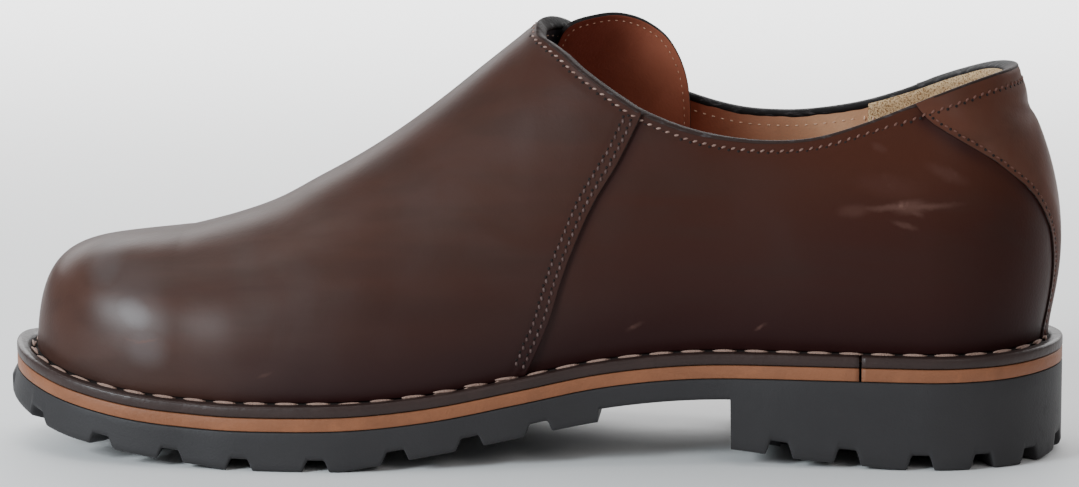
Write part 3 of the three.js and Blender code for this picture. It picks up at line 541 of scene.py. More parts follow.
class Pattern:
    """How the upper's sheets are laid out on the last: where the seams and the topline run."""

    def __init__(self, last):
        self.last = last

        def open_at(x):
            return last.crown(x) - last.topline_height(x, last.centre(x))

        self.front_x = float(halve(-5.0, 12.0, open_at))
        self.edge = {}
        for side in (1, -1):
            close = np.linspace(0, 1, 220) ** 3 * 12
            x = np.concatenate([close, np.linspace(12.2, last.heel_x - self.front_x, 260)])
            straight = last.side_place(self.front_x + x)
            place = np.concatenate([straight, np.linspace(straight[-1], last.half_loop, 160)[1:]])
            place = last.on_side(place, side)
            t = last.topline_t(place)
            t[0] = 1.0
            points = last.wall_at(place, t)
            self.edge[side] = {"place": place, "t": t, "points": points, "run": along(points)}
        self.seam = {side: self.trace_seam(side) for side in (1, -1)}
        self.back = {side: self.trace_back(side) for side in (1, -1)}

    def seam_height(self, x):
        last = self.last
        return last.heel_seat + last.upper_height * smooth(VAMP_SEAM, "at", "high", x / last.length)

    def trace_seam(self, side):
        """The vamp's back edge as a place for each share v of the way up to the topline."""
        last, edge = self.last, self.edge[side]
        points = edge["points"]
        top_run, top_t = crossing(edge, self.seam_height(points[:, 0]) - points[:, 2])
        v = np.linspace(0, 1, 80)

        def below(x):
            place = last.on_side(last.side_place(x), side)
            return self.seam_height(x) - last.wall_at(place, v * top_t)[:, 2]

        x = halve(np.full(80, -4.0), 46.0, below)
        place = last.on_side(last.side_place(x), side)
        lean = (x - x[0]) / (x[-1] - x[0])
        return {"v": v, "x": x, "place": place, "t": v * top_t, "top_run": top_run, "lean": lean}

    def trace_back(self, side):
        """The back piece's edge as a place for each share v of the way up to the topline."""
        last, edge = self.last, self.edge[side]

        def behind(points):
            high = (points[..., 2] - last.heel_seat) / last.upper_height
            return points[..., 0] - last.length * smooth(BACK_SEAM, "high", "at", high)

        _, top_t = crossing(edge, behind(edge["points"]))
        v = np.linspace(0, 1, 80)

        def reached(place):
            return behind(last.wall_at(last.on_side(place, side), v * top_t))

        start = last.side_place(last.heel_x - 25)
        turned = halve(np.full(80, start), last.half_loop, reached) + PATCH_TRIM
        return {"v": v, "place": last.on_side(turned, side), "t": v * top_t}

    def front(self, rise, counts=(34, 22, 46, 34)):
        """Columns of the vamp, inner seam round the toe to outer seam, each with its rows."""
        last = self.last
        fan, ball, ridge, throat = counts
        lean_from = -60.0
        sides = {}
        for side in (1, -1):
            seam, edge = self.seam[side], self.edge[side]
            foot = np.concatenate(
                [
                    np.linspace(0, last.fan, fan, endpoint=False),
                    np.linspace(last.fan, last.side_place(lean_from), ball, endpoint=False),
                    np.linspace(last.side_place(lean_from), last.side_place(seam["x"][0]), ridge + throat),
                ]
            )
            head = foot.copy()
            head_t = np.ones(len(foot))
            n = fan + ball
            head[n : n + ridge] = np.linspace(head[n], last.side_place(self.front_x), ridge)
            runs = np.linspace(0, seam["top_run"], throat + 1)[1:]
            places = last.on_side(resample(edge["place"], edge["run"], runs), side)
            head[n + ridge :] = places
            head_t[n + ridge :] = resample(edge["t"], edge["run"], runs)
            lean = np.interp(rise, seam["v"], seam["lean"])
            place = foot[:, None] + (head - foot)[:, None] * lean[None, :]
            sides[side] = last.on_side(place, side), head_t[:, None] * rise[None, :]
        return joined(backwards(sides[-1]), sides[1])

    def rear(self, rise, tuck=0.0, count=110):
        """Columns of the quarters, outer seam round the heel to inner seam; tuck runs them under."""
        last = self.last
        sides = {}
        for side in (1, -1):
            seam, edge = self.seam[side], self.edge[side]
            foot = np.linspace(last.side_place(seam["x"][0] - tuck), last.half_loop, count)
            runs = np.linspace(max(seam["top_run"] - tuck, 0.5), edge["run"][-1], count)
            head = last.on_side(resample(edge["place"], edge["run"], runs), side)
            head[-1] = last.half_loop
            head_t = resample(edge["t"], edge["run"], runs)
            lean = np.interp(rise, seam["v"], seam["lean"])
            place = foot[:, None] + (head - foot)[:, None] * lean[None, :]
            sides[side] = last.on_side(place, side), head_t[:, None] * rise[None, :]
        return joined(sides[1], backwards(sides[-1]))

    def heel(self, rise, count=44):
        """Columns of the back piece, outer edge round the heel to inner edge."""
        last = self.last
        sides = {}
        for side in (1, -1):
            back, edge = self.back[side], self.edge[side]
            border = np.interp(rise, back["v"], last.on_side(back["place"], side))
            share = np.linspace(0, 1, count)
            place = border[None, :] + (last.half_loop - border)[None, :] * share[:, None]
            top_t = np.interp(place[:, -1], last.on_side(edge["place"], side), edge["t"])
            sides[side] = last.on_side(place, side), top_t[:, None] * rise[None, :]
        return joined(sides[1], backwards(sides[-1]))

    def topline(self, count=420):
        """Evenly spaced places round the topline, from the throat down the outer side and back."""
        outer, inner = self.edge[1], self.edge[-1]
        total = outer["run"][-1] + inner["run"][-1]
        wanted = np.linspace(0, total, count, endpoint=False)
        first = wanted < outer["run"][-1]
        halves = (outer, wanted[first]), (inner, total - wanted[~first])
        return [
            np.concatenate([resample(edge[key], edge["run"], run) for edge, run in halves])
            for key in ("place", "t")
        ]

    def edge_offset(self, place, t):
        """How far the outside of the leather stands out from the form at the topline."""
        last = self.last
        points = last.wall_at(place, t)
        x = points[..., 0]
        outer = np.mod(place, 2 * last.half_loop) <= last.half_loop

        def top_x(borders):
            ends = [last.wall_at(borders[side]["place"][-1], borders[side]["t"][-1])[0] for side in (1, -1)]
            return np.where(outer, *ends)

        seam_x, back_x = top_x(self.seam), top_x(self.back)
        lap = last.lap_offset(x) * (1 - ease(x, seam_x - 1.0, seam_x + 0.6))
        return lap + self.patch_offset(points) * ease(x, back_x - 4.0, back_x + 6.0)

    def patch_offset(self, points):
        """How far the back piece stands out: thin along its skived edges, full inside them."""
        last = self.last
        border = np.full(points.shape[:-1], 1e3)
        for back in self.back.values():
            border = np.minimum(border, near_line(points, last.wall_at(back["place"], back["t"])[::4]))
        return PATCH_EDGE + (last.back_thick + last.gap - PATCH_EDGE) * ease(border, -0.5, 7.0)


def level_line(points, normals, inset):
    """A line beside another one on the surface, on the side that ahead crossed with normal gives."""
    ahead = np.roll(points, -1, 0) - np.roll(points, 1, 0)
    ahead[0], ahead[-1] = points[1] - points[0], points[-1] - points[-2]
    across = unit(np.cross(unit(ahead), normals))
    return points + across * inset


def near_line(points, line):
    """Distance from each point to a line."""
    flat = points.reshape(-1, 3)
    best = np.full(len(flat), 1e9)
    for a, b in zip(line, line[1:]):
        ab = b - a
        share = np.clip(((flat - a) @ ab) / max(ab @ ab, 1e-9), 0, 1)
        best = np.minimum(best, np.linalg.norm(flat - (a + share[:, None] * ab), axis=1))
    return best.reshape(points.shape[:-1])


def stroke_mask(last, points, stroke):
    """A soft stroke between two places seen from the side: 1 along its middle, 0 away from it."""
    x0, x1 = stroke["from_at"] * last.length, stroke["to_at"] * last.length
    z0 = last.seat(x0) + last.upper_height * stroke["from_high"]
    z1 = last.seat(x1) + last.upper_height * stroke["to_high"]
    across = np.array([x1 - x0, z1 - z0])
    long = np.hypot(*across)
    rel = np.stack([points[..., 0] - x0, points[..., 2] - z0], -1)
    share = (rel @ across) / long**2
    gap = (rel[..., 0] * across[1] - rel[..., 1] * across[0]) / long
    fade = np.exp(-np.clip(np.abs(share - 0.5) * 2, 0, 3) ** 4)
    mask = fade * np.exp(-((gap / stroke["width"]) ** 2))
    return mask * (1.0 if stroke["side"] == 0 else points[..., 1] * stroke["side"] > 0)


def work_leather(last, points, normals):
    """Presses the soft creases into a sheet."""
    for values in zip(*CREASES.values()):
        crease = dict(zip(CREASES, values))
        points = points - normals * (stroke_mask(last, points, crease) * crease["depth"])[..., None]
    return points


def press_line(points, normals, line, depth, width):
    """Draws the leather in along a row of stitches."""
    low, high = line.min(0) - 6 * width, line.max(0) + 6 * width
    if (points.reshape(-1, 3).min(0) > high).any() or (points.reshape(-1, 3).max(0) < low).any():
        return points
    gap = near_line(points, line)
    return points - normals * (depth * np.exp(-((gap / width) ** 2)))[..., None]


def tone_of(last, points):
    """The colour guides of a sheet: red for painted light, lighter towards the topline at the back; green for
    painted shade, darker towards the welt and less so at the toe; blue for warmth.
    """
    seat = last.seat(points[..., 0])
    above = points[..., 2] - seat
    at = points[..., 0] / last.length
    forward = 0.25 + 0.75 * ease(at, -0.36, -0.2)
    # Painted shade: darker towards the welt, faded towards the toe
    shade = forward * (0.4 * (1 - ease(above, 0.5, 20.0)) + 0.6 * (1 - ease(above, 8.0, 52.0)))
    warm = 0.42 * ease(at, -0.24, -0.1) + 0.43 * ease(at, -0.06, 0.14) + 0.15 * ease(at, 0.2, 0.42)
    # Painted light: lighter towards the topline at the back of the quarters
    lift = ease(at, 0.1, 0.33) * ease(above, 30.0, 58.0)
    return np.stack([lift, shade, warm], -1)


def add_object(name, data):
    made = bpy.data.objects.new(name, data)
    bpy.context.scene.collection.objects.link(made)
    return made


def object_from(bm, name):
    mesh = bpy.data.meshes.new(name)
    bm.to_mesh(mesh)
    bm.free()
    return add_object(name, mesh)


def lay_sheet(name, points, tones=None, second=()):
    """A sheet through a grid of points in millimetres, made from a grid whose corners are moved.
    The rows of faces listed in second take the second material."""
    nu, nv = points.shape[:2]
    bm = bmesh.new()
    bmesh.ops.create_grid(bm, x_segments=nu - 1, y_segments=nv - 1, size=1)
    for face in bm.faces:
        face.material_index = int((face.calc_center_median().y + 1) / 2 * (nv - 1)) in second
    layer = bm.verts.layers.float_color.new("tone") if tones is not None else None
    for v in bm.verts:
        i = round((v.co.x + 1) / 2 * (nu - 1))
        j = round((v.co.y + 1) / 2 * (nv - 1))
        v.co = points[i, j] * MM
        if layer is not None:
            v[layer] = (*tones[i, j], 1.0)
    bmesh.ops.remove_doubles(bm, verts=bm.verts, dist=2e-6)
    for face in bm.faces:
        face.smooth = True
    return object_from(bm, name)


def turn_faces(made, outward):
    """Turns the faces over if they don't look the way that outward gives at each face's middle."""
    mesh = made.data
    total = sum(p.area * p.normal.dot(Vector(outward(p.center))) for p in mesh.polygons)
    if total < 0:
        mesh.flip_normals()


def face_outwards(made, cap=False):
    """Turns a closed piece's faces outwards, after capping the open ends of a strip."""
    bm = bmesh.new()
    bm.from_mesh(made.data)
    if cap:
        bmesh.ops.holes_fill(bm, edges=bm.edges, sides=0)
    bmesh.ops.recalc_face_normals(bm, faces=bm.faces)
    bm.to_mesh(made.data)
    bm.free()


def thicken(made, thickness, rim=0, back=0, round_edge=0.00025):
    """Gives a sheet its thickness on the side away from its faces, and softens its cut edges."""
    solid = made.modifiers.new("thickness", "SOLIDIFY")
    solid.thickness = thickness
    solid.offset = -1
    solid.use_even_offset = False
    solid.material_offset_rim = rim
    solid.material_offset = back
    if round_edge:
        soft = made.modifiers.new("cut edge", "BEVEL")
        soft.limit_method = "ANGLE"
        soft.angle_limit = math.radians(50)
        soft.width = round_edge
        soft.segments = 2
        soft.use_clamp_overlap = True


def settle(made, nodes=(), materials=()):
    """Hangs a finished piece on the shoe."""
    for name in materials:
        made.data.materials.append(material_named(name))
    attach(made, BODY)
    if nodes:
        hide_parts(*nodes)


def mould(name, grid, node, materials, second=()):
    """A closed piece that takes the place of one node of the CAD model."""
    made = lay_sheet(name, grid, second=second)
    face_outwards(made, cap=True)
    settle(made, (node,), materials)
    return made


def put(tree, kind, settings=None, **inputs):
    """Adds a node with its settings, and sets or links its inputs, by name or as i and a number."""
    made = tree.nodes.new(kind)
    for key, value in (settings or {}).items():
        setattr(made, key, value)
    for key, value in inputs.items():
        numbered = key[0] == "i" and key[1:].isdigit()
        socket = made.inputs[int(key[1:]) if numbered else key.replace("_", " ")]
        if isinstance(value, bpy.types.NodeSocket):
            tree.links.new(value, socket)
        else:
            socket.default_value = value
    return made


def four(colour, red=1.0, green=None, blue=None):
    """A colour with its alpha, each part times its gain; one gain alone is for all three."""
    green, blue = (red, red) if green is None else (green, blue)
    return (colour[0] * red, colour[1] * green, colour[2] * blue, 1.0)


def new_group(name, inputs, outputs):
    tree = bpy.data.node_groups.new(name, "ShaderNodeTree")
    for label, kind, default in inputs:
        socket = tree.interface.new_socket(name=label, in_out="INPUT", socket_type=kind)
        socket.default_value = default
    for label, kind in outputs:
        tree.interface.new_socket(name=label, in_out="OUTPUT", socket_type=kind)
    return tree, tree.nodes.new("NodeGroupInput"), tree.nodes.new("NodeGroupOutput")


def mix(tree, factor, a, b, kind="MIX"):
    """A colour mix: factor of b over a."""
    settings = {"data_type": "RGBA", "blend_type": kind}
    return put(tree, "ShaderNodeMix", settings, i0=factor, i6=a, i7=b).outputs[2]


def calculate(tree, operation, a, b, clamp=False):
    settings = {"operation": operation, "use_clamp": clamp}
    return put(tree, "ShaderNodeMath", settings, i0=a, i1=b).outputs[0]


def times(tree, a, b, clamp=False):
    return calculate(tree, "MULTIPLY", a, b, clamp)


def plus(tree, a, b):
    return calculate(tree, "ADD", a, b)


def minus(tree, a, b, clamp=False):
    return calculate(tree, "SUBTRACT", a, b, clamp)


def spread(tree, value, low, high):
    """Stretches the part of a value between low and high over 0 to 1."""
    settings = {"interpolation_type": "SMOOTHSTEP"}
    return put(tree, "ShaderNodeMapRange", settings, Value=value, From_Min=low, From_Max=high).outputs[0]


def own_place(tree):
    """The point on the piece."""
    return tree.nodes.new("ShaderNodeTexCoord").outputs["Object"]


def apart(tree, where):
    """A point's x, y and z."""
    return put(tree, "ShaderNodeSeparateXYZ", Vector=where).outputs


def noise(tree, where, scale, detail, **settings):
    return put(tree, "ShaderNodeTexNoise", Vector=where, Scale=scale, Detail=detail, **settings).outputs


def drawn_out(tree, where, *scale, turned=(0, 0, 0)):
    return put(tree, "ShaderNodeMapping", Vector=where, Scale=scale, Rotation=turned).outputs[0]


def tone_parts(tree):
    """The three parts of the tone painted on a sheet's corners."""
    tone = put(tree, "ShaderNodeAttribute", {"attribute_name": "tone"}).outputs["Color"]
    return put(tree, "ShaderNodeSeparateColor", Color=tone).outputs


def shade_with(tree, output, **inputs):
    shader = put(tree, "ShaderNodeBsdfPrincipled", **inputs)
    tree.links.new(shader.outputs[0], output.inputs[0])


def grain_group():
    """Hide grain: pores and fine creases, soft clouds of colour, and brushed streaks."""
    if "hide grain" in bpy.data.node_groups:
        return bpy.data.node_groups["hide grain"]
    kind = "NodeSocketFloat"
    tree, given, result = new_group(
        "hide grain",
        (("Pore Scale", kind, 1100.0), ("Cloud Scale", kind, 26.0)),
        [(label, kind) for label in ("Height", "Cloud", "Streak", "Fleck")],
    )
    pore_scale, cloud_scale = given.outputs[:2]
    where = own_place(tree)
    pores = put(tree, "ShaderNodeTexVoronoi", Vector=where, Scale=pore_scale).outputs["Distance"]
    fine = noise(tree, where, pore_scale, 3.0)[0]
    wide = noise(tree, where, 340.0, 2.0)[0]
    height = plus(tree, plus(tree, times(tree, pores, 0.6), times(tree, fine, 0.7)), times(tree, wide, 0.8))
    cloud = noise(tree, where, cloud_scale, 5.0, Roughness=0.55, Distortion=0.6)[0]
    streak = noise(tree, drawn_out(tree, where, 9.0, 60.0, 75.0, turned=(0.0, 0.12, 0.0)), 1.6, 4.0)[0]
    fleck = noise(tree, where, 210.0, 4.0)[0]
    made = {
        "Height": height,
        "Cloud": spread(tree, cloud, 0.32, 0.7),
        "Streak": spread(tree, streak, 0.38, 0.68),
        "Fleck": spread(tree, fleck, 0.55, 0.75),
    }
    for label, value in made.items():
        tree.links.new(value, result.inputs[label])
    return tree


def grain_of(tree, pore=1100.0, cloud=26.0):
    settings = {"node_tree": grain_group()}
    return put(tree, "ShaderNodeGroup", settings, Pore_Scale=pore, Cloud_Scale=cloud).outputs


def raised(tree, height, strength, distance=0.0003):
    return put(tree, "ShaderNodeBump", Height=height, Strength=strength, Distance=distance).outputs[0]


def marks(tree, where, near, table):
    """How strongly the leather is marked at each point, by rubbed marks and by the painted highlight: a
    ragged ellipse for each row of the table.
    near is 1 on the inner side of the shoe."""
    last = Last(bpy.context.scene.shoe_sizes)
    sides = {-1: near, 1: minus(tree, 1.0, near)}
    ragged = noise(tree, where, 330.0, 5.0, Roughness=0.7)["Color"]
    scaled = {"operation": "MULTIPLY_ADD"}
    reach = (WANDER, 0, WANDER)
    moved = put(tree, "ShaderNodeVectorMath", scaled, i0=ragged, i1=reach, i2=where).outputs[0]
    total = 0.0
    for k in range(len(table["strength"])):
        x = np.array([table["from_at"][k], table["to_at"][k]]) * last.length
        z = last.seat(x) + last.upper_height * np.array([table["from_high"][k], table["to_high"][k]])
        run, climb = float(x[1] - x[0]), float(z[1] - z[0])
        size = (math.hypot(run, climb) * MARK_LONG * MM, 1e3, float(table["width"][k]) * MARK_WIDE * MM)
        placed = put(
            tree,
            "ShaderNodeMapping",
            {"vector_type": "TEXTURE"},
            Vector=moved,
            Location=(float(x.mean()) * MM + WANDER / 2, 0, float(z.mean()) * MM + WANDER / 2),
            Rotation=(0, -math.atan2(climb, run), 0),
            Scale=size,
        ).outputs[0]
        out = put(tree, "ShaderNodeVectorMath", {"operation": "LENGTH"}, i0=placed).outputs["Value"]
        mask = times(tree, spread(tree, out, 1.0, 0.2), float(table["strength"][k]))
        total = calculate(tree, "MAXIMUM", total, times(tree, mask, sides[int(table["side"][k])]))
    return total


def leather_nodes(tree, output, colour, warmth=0.9):
    """Oiled leather: clouded brown, darker near the welt as painted shade, lighter near the topline at the
    back as painted light, redder at the back, with a painted highlight on the toe, and pale where it is
    rubbed.
    """
    grain = grain_of(tree)
    where = own_place(tree)
    lift, shade, warm = tone_parts(tree)[:3]
    clear = minus(tree, 1.0, grain["Cloud"])
    base = mix(tree, times(tree, grain["Cloud"], 0.7), four(colour), four(colour, 1.12, 1.28, 1.38))
    base = mix(tree, times(tree, clear, 0.55), base, four(colour, 0.95, 0.66, 0.55))
    base = mix(tree, times(tree, warm, warmth), base, four(colour, 0.52, 0.23, 0.165))
    base = mix(tree, times(tree, grain["Streak"], 0.38), base, four(colour, 0.5))
    # Painted light: lighter and redder towards the topline at the back of the quarters
    base = mix(tree, times(tree, lift, min(1.0, warmth)), base, four(colour, 0.86, 0.47, 0.34))
    # Painted shade: darker towards the welt, less so at the toe, and beside the seams
    base = mix(tree, shade, base, four(colour, 0.34, 0.2, 0.24))
    near = calculate(tree, "LESS_THAN", apart(tree, where)[1], 0.0)
    # Painted highlight: a pale bluish patch on the toe that stands in for the window's reflection
    painted_highlight = times(tree, marks(tree, where, near, PAINTED_HIGHLIGHT), 0.6)
    base = mix(tree, painted_highlight, base, four(colour, 2.5, 4.3, 5.6))
    rubbed = times(tree, marks(tree, where, near, SCUFFS), plus(tree, grain["Fleck"], 0.6), clamp=True)
    base = mix(tree, rubbed, base, four(colour, 1.9, 1.75, 1.75))
    rough = plus(tree, plus(tree, times(tree, grain["Cloud"], 0.1), 0.38), times(tree, rubbed, 0.15))
    facing = put(tree, "ShaderNodeLayerWeight", Blend=0.5).outputs["Facing"]
    fade = calculate(tree, "POWER", minus(tree, 1.0, facing, clamp=True), 1.5)
    gloss = times(tree, fade, minus(tree, 1.0, times(tree, warm, 0.7)))
    shade_with(
        tree,
        output,
        Base_Color=base,
        Roughness=rough,
        Normal=raised(tree, grain["Height"], 0.16, 0.00022),
        Specular_IOR_Level=0.05,
        Coat_Weight=times(tree, gloss, 0.36),
        Coat_Roughness=0.36,
    )


def plain_nodes(tree, output, colour, rough, pore, bump, cloud=40.0, change=0.35, coat=0.0):
    """A dull stuff with soft clouds and a fine surface, such as lining, rubber or thread."""
    grain = grain_of(tree, pore, cloud)
    base = mix(tree, times(tree, grain["Cloud"], change), four(colour), four(colour, 0.55))
    base = mix(tree, times(tree, grain["Fleck"], change * 0.6), base, four(colour, 1.5))
    shade_with(
        tree,
        output,
        Base_Color=base,
        Roughness=plus(tree, times(tree, grain["Fleck"], 0.12), rough),
        Normal=raised(tree, grain["Height"], bump),
        Specular_IOR_Level=0.3,
        Coat_Weight=coat,
    )


def painted_nodes(tree, output, colour):
    """Dark edge paint, rubbed to a dusty grey in short scratches, and browner on the inner side."""
    grain = grain_of(tree, 700.0, 90.0)
    where = own_place(tree)
    worn = noise(tree, drawn_out(tree, where, 260.0, 500.0, 900.0), 1.0, 4.0, Roughness=0.6)[0]
    base = mix(tree, times(tree, grain["Cloud"], 0.5), four(colour), four(colour, 2.0))
    inner = spread(tree, apart(tree, where)[1], 0.012, -0.012)
    base = mix(tree, inner, base, four(colour, 2.6, 1.7, 1.4))
    base = mix(tree, spread(tree, worn, 0.53, 0.74), base, four(colour, 6.0))
    bump = raised(tree, grain["Height"], 0.5)
    shade_with(tree, output, Base_Color=base, Roughness=0.62, Normal=bump, Specular_IOR_Level=0.1)


def graded_nodes(tree, output, colour, low, high):
    """Tan leather, dark and red towards the throat and paler towards the heel: low and high are the
    two ends as multiples of the colour."""
    grain = grain_of(tree, 1300.0, 60.0)
    base = mix(tree, tone_parts(tree)[0], four(colour, *low), four(colour, *high))
    worn = mix(tree, 1.0, base, (0.6, 0.5, 0.46, 1.0), "MULTIPLY")
    base = mix(tree, times(tree, grain["Cloud"], 0.4), base, worn)
    rough = plus(tree, times(tree, grain["Fleck"], 0.12), 0.5)
    bump = raised(tree, grain["Height"], 0.22)
    shade_with(tree, output, Base_Color=base, Roughness=rough, Normal=bump, Specular_IOR_Level=0.25)


def suede_nodes(tree, output, colour):
    """Napped leather: pale fibres speckled with dark hollows."""
    grain = grain_of(tree, 900.0, 160.0)
    speck = noise(tree, own_place(tree), 2300.0, 3.0, Roughness=0.6)[0]
    base = mix(tree, times(tree, grain["Cloud"], 0.35), four(colour), four(colour, 0.7))
    base = mix(tree, spread(tree, speck, 0.56, 0.36), base, four(colour, 0.36, 0.27, 0.2))
    bump = raised(tree, speck, 0.9, 0.0005)
    shade_with(tree, output, Base_Color=base, Roughness=0.95, Normal=bump, Specular_IOR_Level=0.1)


def thread_nodes(tree, output, colour):
    """Fine thread, cleaner at the throat and stained like the leather towards the heel."""
    grain = grain_of(tree, 2600.0, 300.0)
    stained = four(colour, 0.42, 0.27, 0.24)
    back = spread(tree, apart(tree, own_place(tree))[0], 0.01, 0.125)
    base = mix(tree, back, four(colour), stained)
    base = mix(tree, times(tree, grain["Cloud"], 0.6), base, stained)
    bump = raised(tree, grain["Height"], 0.5)
    shade_with(tree, output, Base_Color=base, Roughness=0.6, Normal=bump, Specular_IOR_Level=0.2)


# For each material: how it is made, its colour or the name of that in the finish, and its settings
MATERIALS = {
    "brown leather": (leather_nodes, "leather"),
    "back leather": (leather_nodes, "back_leather", 0.0),
    "edge paint": (painted_nodes, "edge_paint"),
    "dark facing": (plain_nodes, "facing", 0.6, 1300.0, 0.25),
    "tan lining": (plain_nodes, "lining", 0.55, 1300.0, 0.25),
    "tongue lining": (graded_nodes, "tongue", (0.9, 0.62, 0.68), (1.9, 2.0, 2.0)),
    "graded lining": (graded_nodes, "lining", (0.62, 0.3, 0.26), (1.55, 1.95, 1.9)),
    "beige suede": (suede_nodes, "heel_lining"),
    "welt strip": (plain_nodes, "welt", 0.45, 800.0, 0.35, 60.0, 0.4, 0.08),
    "midsole edge": (plain_nodes, "midsole", 0.5, 1000.0, 0.3, 70.0, 0.4),
    "black rubber": (plain_nodes, "rubber", 0.55, 1500.0, 0.2, 30.0, 0.3),
    "fine thread": (thread_nodes, "thread"),
    "seam thread": (thread_nodes, "seam_thread"),
    "lining thread": (plain_nodes, "lining_thread", 0.6, 2600.0, 0.4),
    "welt thread": (plain_nodes, "welt_thread", 0.7, 1800.0, 0.8, 160.0),
    # The near-black of the awl holes, also laid in the welt's groove as painted shade
    "awl hole": (plain_nodes, (0.012, 0.007, 0.006), 0.8, 900.0, 0.1),
    "studio floor": (plain_nodes, "floor", 0.7, 60.0, 0.0, 2.0, 0.0),
}


def material_named(name):
    """One of the materials above, made once."""
    if name in bpy.data.materials:
        return bpy.data.materials[name]
    make, colour, *settings = MATERIALS[name]
    if isinstance(colour, str):
        colour = getattr(bpy.context.scene.shoe_finish, colour)
    material = bpy.data.materials.new(name)
    material.use_nodes = True
    tree = material.node_tree
    tree.nodes.clear()
    make(tree, tree.nodes.new("ShaderNodeOutputMaterial"), colour, *settings)
    return material


def shoe_of(context):
    """The last and the pattern for the sizes that are set."""
    last = Last(context.scene.shoe_sizes)
    return last, Pattern(last)


def stitch_lines(last, pattern):
    """The rows of stitches on the upper, as lines in millimetres."""
    place, t = pattern.topline()
    normals = last.normal_at(place, t)
    normals = np.concatenate([normals, normals[:1]])

    def ring(offset):
        points = last.skin(place, t, offset)
        return np.concatenate([points, points[:1]])

    outside = ring(pattern.edge_offset(place, t))
    x = outside[:, 0]
    inset = TOPLINE_INSET + 0.9 * ease(x, 15.0, 72.0) + 1.6 * ease(x, 88.0, 118.0)
    inside = ring(np.full(len(t), -last.wall))
    lines = {
        "topline": level_line(outside, normals, -inset[:, None]),
        "lining": level_line(inside, normals, -LINING_INSET),
    }
    for side, label in SIDES:
        seam, back = pattern.seam[side], pattern.back[side]
        line = last.skin(seam["place"], seam["t"], last.lap_offset(seam["x"]))
        normals = last.normal_at(seam["place"], seam["t"])
        for row, inset in SEAM_INSETS.items():
            lines[f"seam {row} {label}"] = level_line(line, normals, side * inset)
        line = last.skin(back["place"], back["t"], last.back_thick + last.gap)
        normals = last.normal_at(back["place"], back["t"])
        lines["back " + label] = level_line(line, normals, -side * BACK_INSET)
    return lines


def rows_of(lines, start):
    """The rows of stitches whose labels start so."""
    return [line for label, line in lines.items() if label.startswith(start)]


def rise_rows(count):
    """Shares of the way up the wall, closer together near the top."""
    v = np.linspace(0, 1, count)
    return v - 0.12 * np.sin(2 * math.pi * v) / (2 * math.pi)


def outward_from_axis(last, sign=1):
    """A direction out of the shoe at each point, or into it with sign -1."""

    def outward(centre):
        x = min(max(centre.x / MM, last.toe_x + 20), last.heel_x - 10)
        return (sign * (centre.x - x * MM), sign * centre.y, sign * (centre.z - 0.05) * 0.8)

    return outward


class SHOE_OT_vamp(bpy.types.Operator):
    """The front leather, from the toe back to the lapped seam and up to the throat"""

    bl_idname = "shoe.vamp"
    bl_label = "Vamp"

    def execute(self, context):
        last, pattern = shoe_of(context)
        place, t = pattern.front(rise_rows(60))
        normals = last.normal_at(place, t)
        points = last.wall_at(place, t)
        points = points + normals * last.lap_offset(points[..., 0])[..., None]
        tones = tone_of(last, points)
        points = work_leather(last, points, normals)
        lines = stitch_lines(last, pattern)
        for line in rows_of(lines, "seam"):
            points = press_line(points, normals, line[::2], *SEAM_PRESS)
        points = press_line(points, normals, lines["topline"][::3], *TOPLINE_PRESS)
        made = lay_sheet("vamp_leather", points, tones)
        turn_faces(made, outward_from_axis(last))
        thicken(made, THICK["vamp"] * MM, rim=1)
        settle(made, ("vamp",), ("brown leather", "edge paint"))
        return {"FINISHED"}


class SHOE_OT_quarters(bpy.types.Operator):
    """The two quarters in one sheet round the heel, tucked under the vamp's back edge"""

    bl_idname = "shoe.quarters"
    bl_label = "Quarters"

    def execute(self, context):
        last, pattern = shoe_of(context)
        place, t = pattern.rear(rise_rows(60), tuck=QUARTER_TUCK)
        normals = last.normal_at(place, t)
        points = last.wall_at(place, t)
        tones = tone_of(last, points)
        # Painted shadow beside the vamp's lapped seam and along the back piece's edge, carried in the tone's
        # shade
        shadow = np.zeros(points.shape[:-1])
        for borders, width in ((pattern.seam, 2.2), (pattern.back, 2.4)):
            for border in borders.values():
                gap = near_line(points, last.wall_at(border["place"], border["t"])[::4])
                shadow = np.maximum(shadow, np.exp(-((gap / width) ** 2)) * 0.8)
        tones[..., 1] = np.maximum(tones[..., 1], shadow)
        points = work_leather(last, points, normals)
        lines = stitch_lines(last, pattern)
        points = press_line(points, normals, lines["topline"][::3], *TOPLINE_PRESS)
        made = lay_sheet("quarters_leather", points, tones)
        turn_faces(made, outward_from_axis(last))
        thicken(made, THICK["quarters"] * MM, rim=1)
        settle(made, ("quarters",), ("brown leather", "edge paint"))
        return {"FINISHED"}


class SHOE_OT_back_piece(bpy.types.Operator):
    """The patch over the heel seam"""

    bl_idname = "shoe.back_piece"
    bl_label = "Back piece"

    def execute(self, context):
        last, pattern = shoe_of(context)
        place, t = pattern.heel(rise_rows(60))
        normals = last.normal_at(place, t)
        points = last.wall_at(place, t)
        proud = pattern.patch_offset(points)
        points = points + normals * proud[..., None]
        fold = np.exp(-(((points[..., 2] - BACK_FOLD) / FOLD_WIDTH) ** 2))
        fold = fold * ease(points[..., 0], 128.0, 142.0)
        points = points - normals * (FOLD_DEPTH * fold)[..., None]
        tones = tone_of(last, points)
        # Painted shade: darker in the fold across the back piece and along its thin skived edge
        tones[..., 1] = tones[..., 1] * 0.8 + 0.3 * fold + 0.5 * (1 - ease(proud, PATCH_EDGE, 0.62))
        lines = stitch_lines(last, pattern)
        for line in rows_of(lines, "back"):
            points = press_line(points, normals, line[::2], *BACK_PRESS)
        points = press_line(points, normals, lines["topline"][::3], *PATCH_TOP_PRESS)
        made = lay_sheet("back_patch", points, tones)
        turn_faces(made, outward_from_axis(last))
        thicken(made, THICK["patch"] * MM, rim=1, round_edge=0.0002)
        settle(made, ("back_piece",), ("back leather", "edge paint"))
        return {"FINISHED"}


